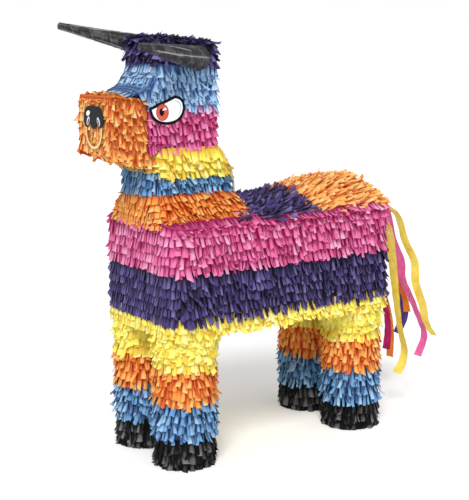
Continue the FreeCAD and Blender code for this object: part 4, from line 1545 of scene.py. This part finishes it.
@dataclass
class Eye:
    """Frowning eye: black rim, white ball, red iris, pupil and glint, in millimetres as (y, z)."""

    side: str
    sign: int
    inner: tuple[float, float] = (-172.0, 429.3)
    peak: tuple[float, float] = (-137.5, 443.0)
    back: tuple[float, float] = (-123.7, 427.5)
    low: tuple[float, float] = (-149.0, 409.6)
    iris: tuple[float, float] = (-154.5, 424.0)

    def _place(self, outline: np.ndarray, height: float) -> np.ndarray:
        """Carry plane points to the side of the head."""
        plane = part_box(f"{self.side}_eye")[0 if self.sign > 0 else 1].x
        return np.column_stack([np.full(len(outline), plane + self.sign * height), outline * MM])

    def _below_brow(self, outline: np.ndarray, margin: float) -> np.ndarray:
        """Outline cut off along the brow line."""
        slope = (self.peak[1] - self.inner[1]) / (self.peak[0] - self.inner[0])
        line = self.inner[1] + slope * (outline[:, 0] - self.inner[0]) - margin
        return np.column_stack([outline[:, 0], np.minimum(outline[:, 1], line)])

    def build(self) -> bpy.types.Object:
        """Make the sticker.

        Returns:
            The finished piece.
        """
        rim = np.concatenate([
            np.linspace(self.inner, self.peak, 12, endpoint=False),
            bow(self.peak, (-127.0, 438.6), self.back),
            bow(self.back, (-131.5, 414.2), self.low), bow(self.low, (-165.5, 415.0), self.inner)])
        plate = Sticker(self._place)
        plate.add(rim, Paint.INK_BLACK, 0)
        plate.add(shrink(rim, 3.3), Paint.INK_WHITE, 1)
        plate.add(self._below_brow(oval(self.iris, 8.5, 9.8), 2.2), Paint.INK_DEEP_RED, 2)
        plate.add(self._below_brow(oval(self.iris, 7.7, 9.0), 2.9), Paint.INK_RED, 3)
        plate.add(self._below_brow(oval((self.iris[0] - 1.0, self.iris[1] + 0.3), 3.1, 4.4), 3.0),
                  Paint.INK_BLACK, 4)
        wedge = [(self.iris[0] - 0.8, self.iris[1] + 2.2), (self.iris[0] + 5.2, self.iris[1] + 2.6),
                 (self.iris[0] + 4.6, self.iris[1] + 5.6), (self.iris[0] + 2.6, self.iris[1] + 5.2)]
        plate.add(wedge, Paint.INK_WHITE, 5)
        outer = bow((-137.6, 437.6), (-129.0, 432.0), (-132.5, 419.0), 12)
        inner = bow((-133.4, 419.6), (-130.6, 431.4), (-138.2, 436.8), 12)
        plate.add(np.concatenate([outer, [(-132.5, 419.0)], inner, [(-138.2, 436.8)]]), Paint.INK_BLUE, 2)
        return plate.build(f"{self.side}_eye_sticker", f"{self.side}_eye")


@dataclass
class Nose:
    """Dark nose with two pale nostrils and a flat gold ring, in millimetres as (x, z)."""

    ring: tuple[float, float] = (0.0, 403.5)
    ring_half: tuple[float, float] = (20.5, 21.5)
    band: float = 4.0
    aside: float = 3.5

    def _place(self, outline: np.ndarray, height: float) -> np.ndarray:
        """Carry plane points to the front of the muzzle."""
        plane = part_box("nose_sticker")[1].y
        return join((outline[:, 0] + self.aside) * MM, plane - height, outline[:, 1] * MM)

    def _band(self, half_width: float, half_height: float, width: float) -> np.ndarray:
        """Open ring as one outline, with its gap behind the nose.

        Args:
            half_width: Half of its width.
            half_height: Half of its height.
            width: Width of the band.

        Returns:
            The outline.
        """
        turn = np.radians(np.linspace(118, 422, 60))
        outer = np.column_stack([half_width * np.cos(turn), half_height * np.sin(turn)])
        inner = outer * np.array([1 - width / half_width, 1 - width / half_height])
        return np.concatenate([outer, inner[::-1]]) + np.array(self.ring)

    def build(self) -> bpy.types.Object:
        """Make the sticker.

        Returns:
            The finished piece.
        """
        nose = bowed(((-23.0, 419.0), (0.0, 431.5), (23.0, 419.0), (17.0, 406.6), (3.4, 406.8), (-3.4, 406.8),
                      (-17.0, 406.6)),
                     ((-17.5, 429.6), (17.5, 429.6), (22.8, 412.0), (9.0, 410.5), (0.0, 405.6), (-9.0, 410.5),
                      (-22.8, 412.0)))
        plate = Sticker(self._place)
        plate.add(self._band(*self.ring_half, self.band), Paint.INK_AMBER, 0)
        inset = (self.ring_half[0] - 0.6, self.ring_half[1] - 0.6, self.band - 1.2)
        plate.add(self._band(*inset), Paint.INK_GOLD, 1)
        plate.add(nose, Paint.INK_BLACK, 2)
        for sign in (1, -1):
            plate.add(oval((sign * 12.6, 414.4), 3.0, 5.4, sign * 0.45), Paint.INK_LILAC, 3)
            plate.add(oval((sign * 12.2, 413.6), 1.2, 3.6, sign * 0.45), Paint.INK_BLACK, 4)
        plate.add(oval((-12.4, 423.2), 4.6, 2.8, 0.35), Paint.INK_WHITE, 3)
        return plate.build("nose_print", "nose_sticker")


# --- loop and tail
@dataclass
class HangingLoop:
    """White cord that stands up behind the neck."""

    route: tuple[tuple[float, float, float], ...] = (
        (25, -44, 311.6), (27, -44.5, 327), (27.6, -47, 343), (26.5, -52, 358.5), (20.5, -56.5, 372),
        (8, -59.5, 380.5), (-8, -59.5, 380.5), (-20.5, -56.5, 372), (-26.5, -52, 358.5), (-27.6, -47, 343),
        (-27, -44.5, 327), (-25, -44, 311.6))
    radius: float = 1.6 * MM
    length: float = 0.1718

    def build(self) -> bpy.types.Object:
        """Make the cord.

        Returns:
            The finished piece.
        """
        curve = bpy.data.curves.new("hanging_cord", "CURVE")
        curve.dimensions = "3D"
        curve.bevel_depth = self.radius
        curve.bevel_resolution = 6
        curve.resolution_u = 16
        curve.use_fill_caps = True
        spline = curve.splines.new("NURBS")
        spline.points.add(len(self.route) - 1)
        for point, place in zip(spline.points, self.route):
            point.co = (*(part * MM for part in place), 1.0)
        spline.order_u = 3
        spline.use_endpoint_u = True
        curve.materials.append(Paint.CORD.material())
        cord = bpy.data.objects.new("hanging_cord", curve)
        bpy.context.scene.collection.objects.link(cord)
        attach(cord, Body.LOOP.value)
        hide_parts("hanging_loop")
        tuple(part * MM for part in self.route[0])
        LOG.info("hanging_cord: %d route points", len(self.route))
        return cord


@dataclass
class Streamer:
    """Crepe strip glued to the tail strip, in millimetres: lane is x, route is (y, z)."""

    name: str
    node: str
    paint: Paint
    lane: float
    route: tuple[tuple[float, float], ...]
    twist: float = 0.6
    drift: float = 4.0
    seed: int = 0
    width: float = 12.0
    start: tuple[float, float] = (173.4, 281.0)

    def _spine(self, count: int) -> np.ndarray:
        """Smooth line through the route.

        Args:
            count: How many points it gets.

        Returns:
            The points.
        """
        knots = np.array([self.start, *self.route], float)
        padded = np.concatenate([[2 * knots[0] - knots[1]], knots, [2 * knots[-1] - knots[-2]]])
        spans = np.linspace(0, len(knots) - 1 - 1e-6, count)
        index = spans.astype(int)
        share = (spans - index)[:, None]
        before, start, end, after = (padded[index + step] for step in range(4))
        return 0.5 * (2 * start + (end - before) * share
                      + (2 * before - 5 * start + 4 * end - after) * share ** 2
                      + (3 * start - before - 3 * end + after) * share ** 3)

    def strip(self) -> tuple[np.ndarray, np.ndarray, np.ndarray, float]:
        """Vertices, faces, weave and length of the strip.

        Returns:
            The four, in that order.
        """
        count, columns = 110, 7
        draw = np.random.default_rng(self.seed)
        phase = draw.uniform(0, 6.28, 4)
        side_line = self._spine(count)
        share = np.linspace(0, 1, count)
        free = smooth_share(share, 0.02, 0.3)
        across = self.lane + self.drift * free * np.sin(share * 5.5 + phase[0])
        spine = np.column_stack([across, side_line])
        ahead = unit(np.gradient(spine, axis=0))
        turn = free * (0.5 * self.twist * np.sin(share * 7.5 + phase[1]) - 0.35)
        flat = np.broadcast_to([1.0, 0.0, 0.0], ahead.shape)
        flat = unit(flat - ahead * np.sum(flat * ahead, axis=1, keepdims=True))
        face = np.cross(ahead, flat)
        wide = flat * np.cos(turn)[:, None] + face * np.sin(turn)[:, None]
        proud = np.cross(ahead, wide)
        columns_at = np.linspace(-0.5, 0.5, columns)
        cup = 0.9 * free[:, None] * np.sin(share * 9 + phase[2])[:, None] * (columns_at ** 2 * 4)[None, :]
        edge = 0.35 * free[:, None] * np.sin(share[:, None] * 95 + columns_at[None] * 3 + phase[3]) * np.abs(
            columns_at[None] * 2) ** 2
        points = (spine[:, None] + wide[:, None] * (columns_at * self.width)[None, :, None]
                  + proud[:, None] * (cup + edge + 0.3)[..., None])
        run = np.concatenate([[0.0], np.cumsum(np.linalg.norm(np.diff(spine, axis=0), axis=1))])
        lay = join((columns_at * self.width)[None, :] * MM, run[:, None] * MM,
                                           self.seed * 0.37)
        return points.reshape(-1, 3) * MM, grid_faces(columns, count), lay.reshape(-1, 3), float(run[-1]) * MM

    def build(self) -> bpy.types.Object:
        """Make the strip and hang it on the tail.

        Returns:
            The finished piece.
        """
        points, faces, lay, length = self.strip()
        piece = add_piece(self.name, points, faces, [self.paint], Body.TAIL, [self.node], marks={"lay": lay})
        self.width * MM
        return piece


@dataclass
class Tail:
    """Seven crepe streamers."""

    strips: tuple[Streamer, ...] = (
        Streamer("yellow_streamer_long", "streamer_yellow_long", Paint.YELLOW_STRIP, 5, (
            (200, 287), (228, 282), (252, 264), (266, 228), (284, 196), (286, 166), (300, 132), (308, 104),
            (325, 82)), 0.5, 3.0, 1),
        Streamer("pink_streamer_long", "streamer_pink_long", Paint.PINK_STRIP, 31, (
            (186, 292), (204, 278), (217, 240), (236, 206), (240, 180), (256, 152), (272, 120), (282, 94),
            (268, 66)), 0.7, 4.0, 2),
        Streamer("orange_streamer_mid", "streamers_orange", Paint.ORANGE_STRIP, 18, (
            (192, 284), (212, 258), (228, 216), (238, 182), (258, 148), (262, 128)), 0.6, 3.0, 3),
        Streamer("yellow_streamer_short", "streamer_yellow_short", Paint.YELLOW_STRIP, 44, (
            (184, 277), (196, 252), (204, 206), (212, 158), (222, 116), (234, 84), (232, 64), (221, 50)),
                 0.7, 3.0, 4),
        Streamer("purple_streamer", "streamer_purple", Paint.PURPLE_STRIP, -8, (
            (194, 280), (222, 252), (246, 208), (262, 168), (276, 134), (279, 112), (268, 90)), 0.6, 3.0, 5),
        Streamer("magenta_streamer", "streamer_magenta", Paint.MAGENTA_STRIP, -21, (
            (190, 276), (216, 238), (238, 186), (252, 136), (257, 100), (256, 66)), 0.5, 3.0, 6),
        Streamer("orange_streamer_rear", "streamers_orange", Paint.ORANGE_STRIP, -34, (
            (188, 272), (216, 230), (244, 176), (264, 128), (274, 88), (278, 48)), 0.6, 3.0, 7))

    def build(self) -> None:
        """Hang the streamers."""
        for strip in self.strips:
            strip.build()


# --- card, studio and camera
class CardBody:
    """Card nodes of the frame that stay as they are and take a real card finish."""

    cord_nodes = ("loop_knots",)

    def dress(self) -> None:
        """Give every node that still shows its finish."""
        for name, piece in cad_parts.items():
            if piece.hide_render:
                continue
            paint = Paint.CORD if name in self.cord_nodes else Paint.CARD
            piece.data.materials.clear()
            piece.data.materials.append(paint.material())
            LOG.info("%s: %s", name, paint.finish.name)


@dataclass
class Studio:
    """Pale floor, white surroundings and soft lights."""

    floor_radius: float = 30.0
    fill: float = 0.6
    backdrop: float = 1.0
    sun: float = 2.35
    sun_from: tuple[float, float] = (50.0, 46.0)
    sun_spread: float = 24.0
    sensor: float = 36.0
    lens: float = 81.432
    eye: tuple[float, float, float] = (1.1668, -0.8300, 0.49875)
    heading: float = 55.4
    drop: float = 10.2

    def floor(self) -> None:
        """Lay a round floor."""
        turn = np.linspace(0, 2 * math.pi, 96, endpoint=False)
        points = np.column_stack([np.cos(turn), np.sin(turn), np.zeros(96)]) * self.floor_radius
        mesh = bpy.data.meshes.new("floor")
        mesh.from_pydata(points.tolist(), [], [list(range(96))])
        mesh.materials.append(PaleFloor().paint())
        floor = bpy.data.objects.new("floor", mesh)
        bpy.context.scene.collection.objects.link(floor)

    def light(self, name: str, azimuth: float, elevation: float, power: float, spread: float) -> None:
        """Hang one soft far light.

        Args:
            name: Name of the light.
            azimuth: Where it stands, in degrees round from the bull's front towards its left flank.
            elevation: Degrees above the floor.
            power: Strength.
            spread: Width of the light in degrees.
        """
        lamp = bpy.data.lights.new(name, "SUN")
        lamp.energy = power
        lamp.angle = math.radians(spread)
        turn, rise = math.radians(azimuth), math.radians(elevation)
        place = Vector((math.sin(turn) * math.cos(rise), -math.cos(turn) * math.cos(rise), math.sin(rise)))
        holder = bpy.data.objects.new(name, lamp)
        holder.location = place * 3
        holder.rotation_euler = (-place).to_track_quat("-Z", "Y").to_euler()
        bpy.context.scene.collection.objects.link(holder)

    def surroundings(self) -> None:
        """Even white light from all round, in front of a white backdrop."""
        world = bpy.data.worlds.new("white_room")
        world.use_nodes = True
        tree = world.node_tree
        tree.nodes.clear()
        lit, seen = (tree.nodes.new("ShaderNodeBackground") for _ in range(2))
        lit.inputs["Strength"].default_value = self.fill
        seen.inputs["Strength"].default_value = self.backdrop
        for back in (lit, seen):
            back.inputs["Color"].default_value = (1.0, 1.0, 1.0, 1.0)
        choice = tree.nodes.new("ShaderNodeMixShader")
        tree.links.new(tree.nodes.new("ShaderNodeLightPath").outputs["Is Camera Ray"], choice.inputs[0])
        tree.links.new(lit.outputs[0], choice.inputs[1])
        tree.links.new(seen.outputs[0], choice.inputs[2])
        tree.links.new(choice.outputs[0], tree.nodes.new("ShaderNodeOutputWorld").inputs["Surface"])
        bpy.context.scene.world = world

    def camera(self) -> None:
        """Set the camera."""
        lens = bpy.data.cameras.new("camera")
        lens.sensor_width = self.sensor
        lens.lens = self.lens
        lens.clip_start, lens.clip_end = 0.02, 60.0
        holder = bpy.data.objects.new("camera", lens)
        holder.location = self.eye
        azimuth, drop = math.radians(self.heading), math.radians(self.drop)
        level = math.cos(drop)
        ahead = Vector((-math.sin(azimuth) * level, math.cos(azimuth) * level, -math.sin(drop)))
        holder.rotation_euler = ahead.to_track_quat("-Z", "Y").to_euler()
        bpy.context.scene.collection.objects.link(holder)
        bpy.context.scene.camera = holder

    def build(self) -> None:
        """Set up everything round the pinata."""
        self.floor()
        self.surroundings()
        self.light("key", *self.sun_from, self.sun, self.sun_spread)
        self.camera()
        bpy.context.scene.view_settings.view_transform = "Standard"


def main() -> None:
    """Build the pinata, then the room it stands in."""
    logging.basicConfig(level=logging.INFO, format="%(name)s: %(message)s")
    Barrel().build()
    for count, name in enumerate(("front_left", "front_right", "rear_left", "rear_right")):
        Leg(name, seed=50 + count).build()
    Neck().build()
    Head().build()
    Horn("left", Vector((0.047, -0.109, 0.4855)), Vector((0.100, -0.216, 0.499)), seed=5).build()
    Horn("right", Vector((-0.047, -0.107, 0.4955)), Vector((-0.099, -0.215, 0.5235)), seed=6).build()
    Eye("left", 1).build()
    Eye("right", -1).build()
    Nose().build()
    HangingLoop().build()
    Tail().build()
    CardBody().dress()
    Studio().build()


if __name__ == "__main__":
    main()
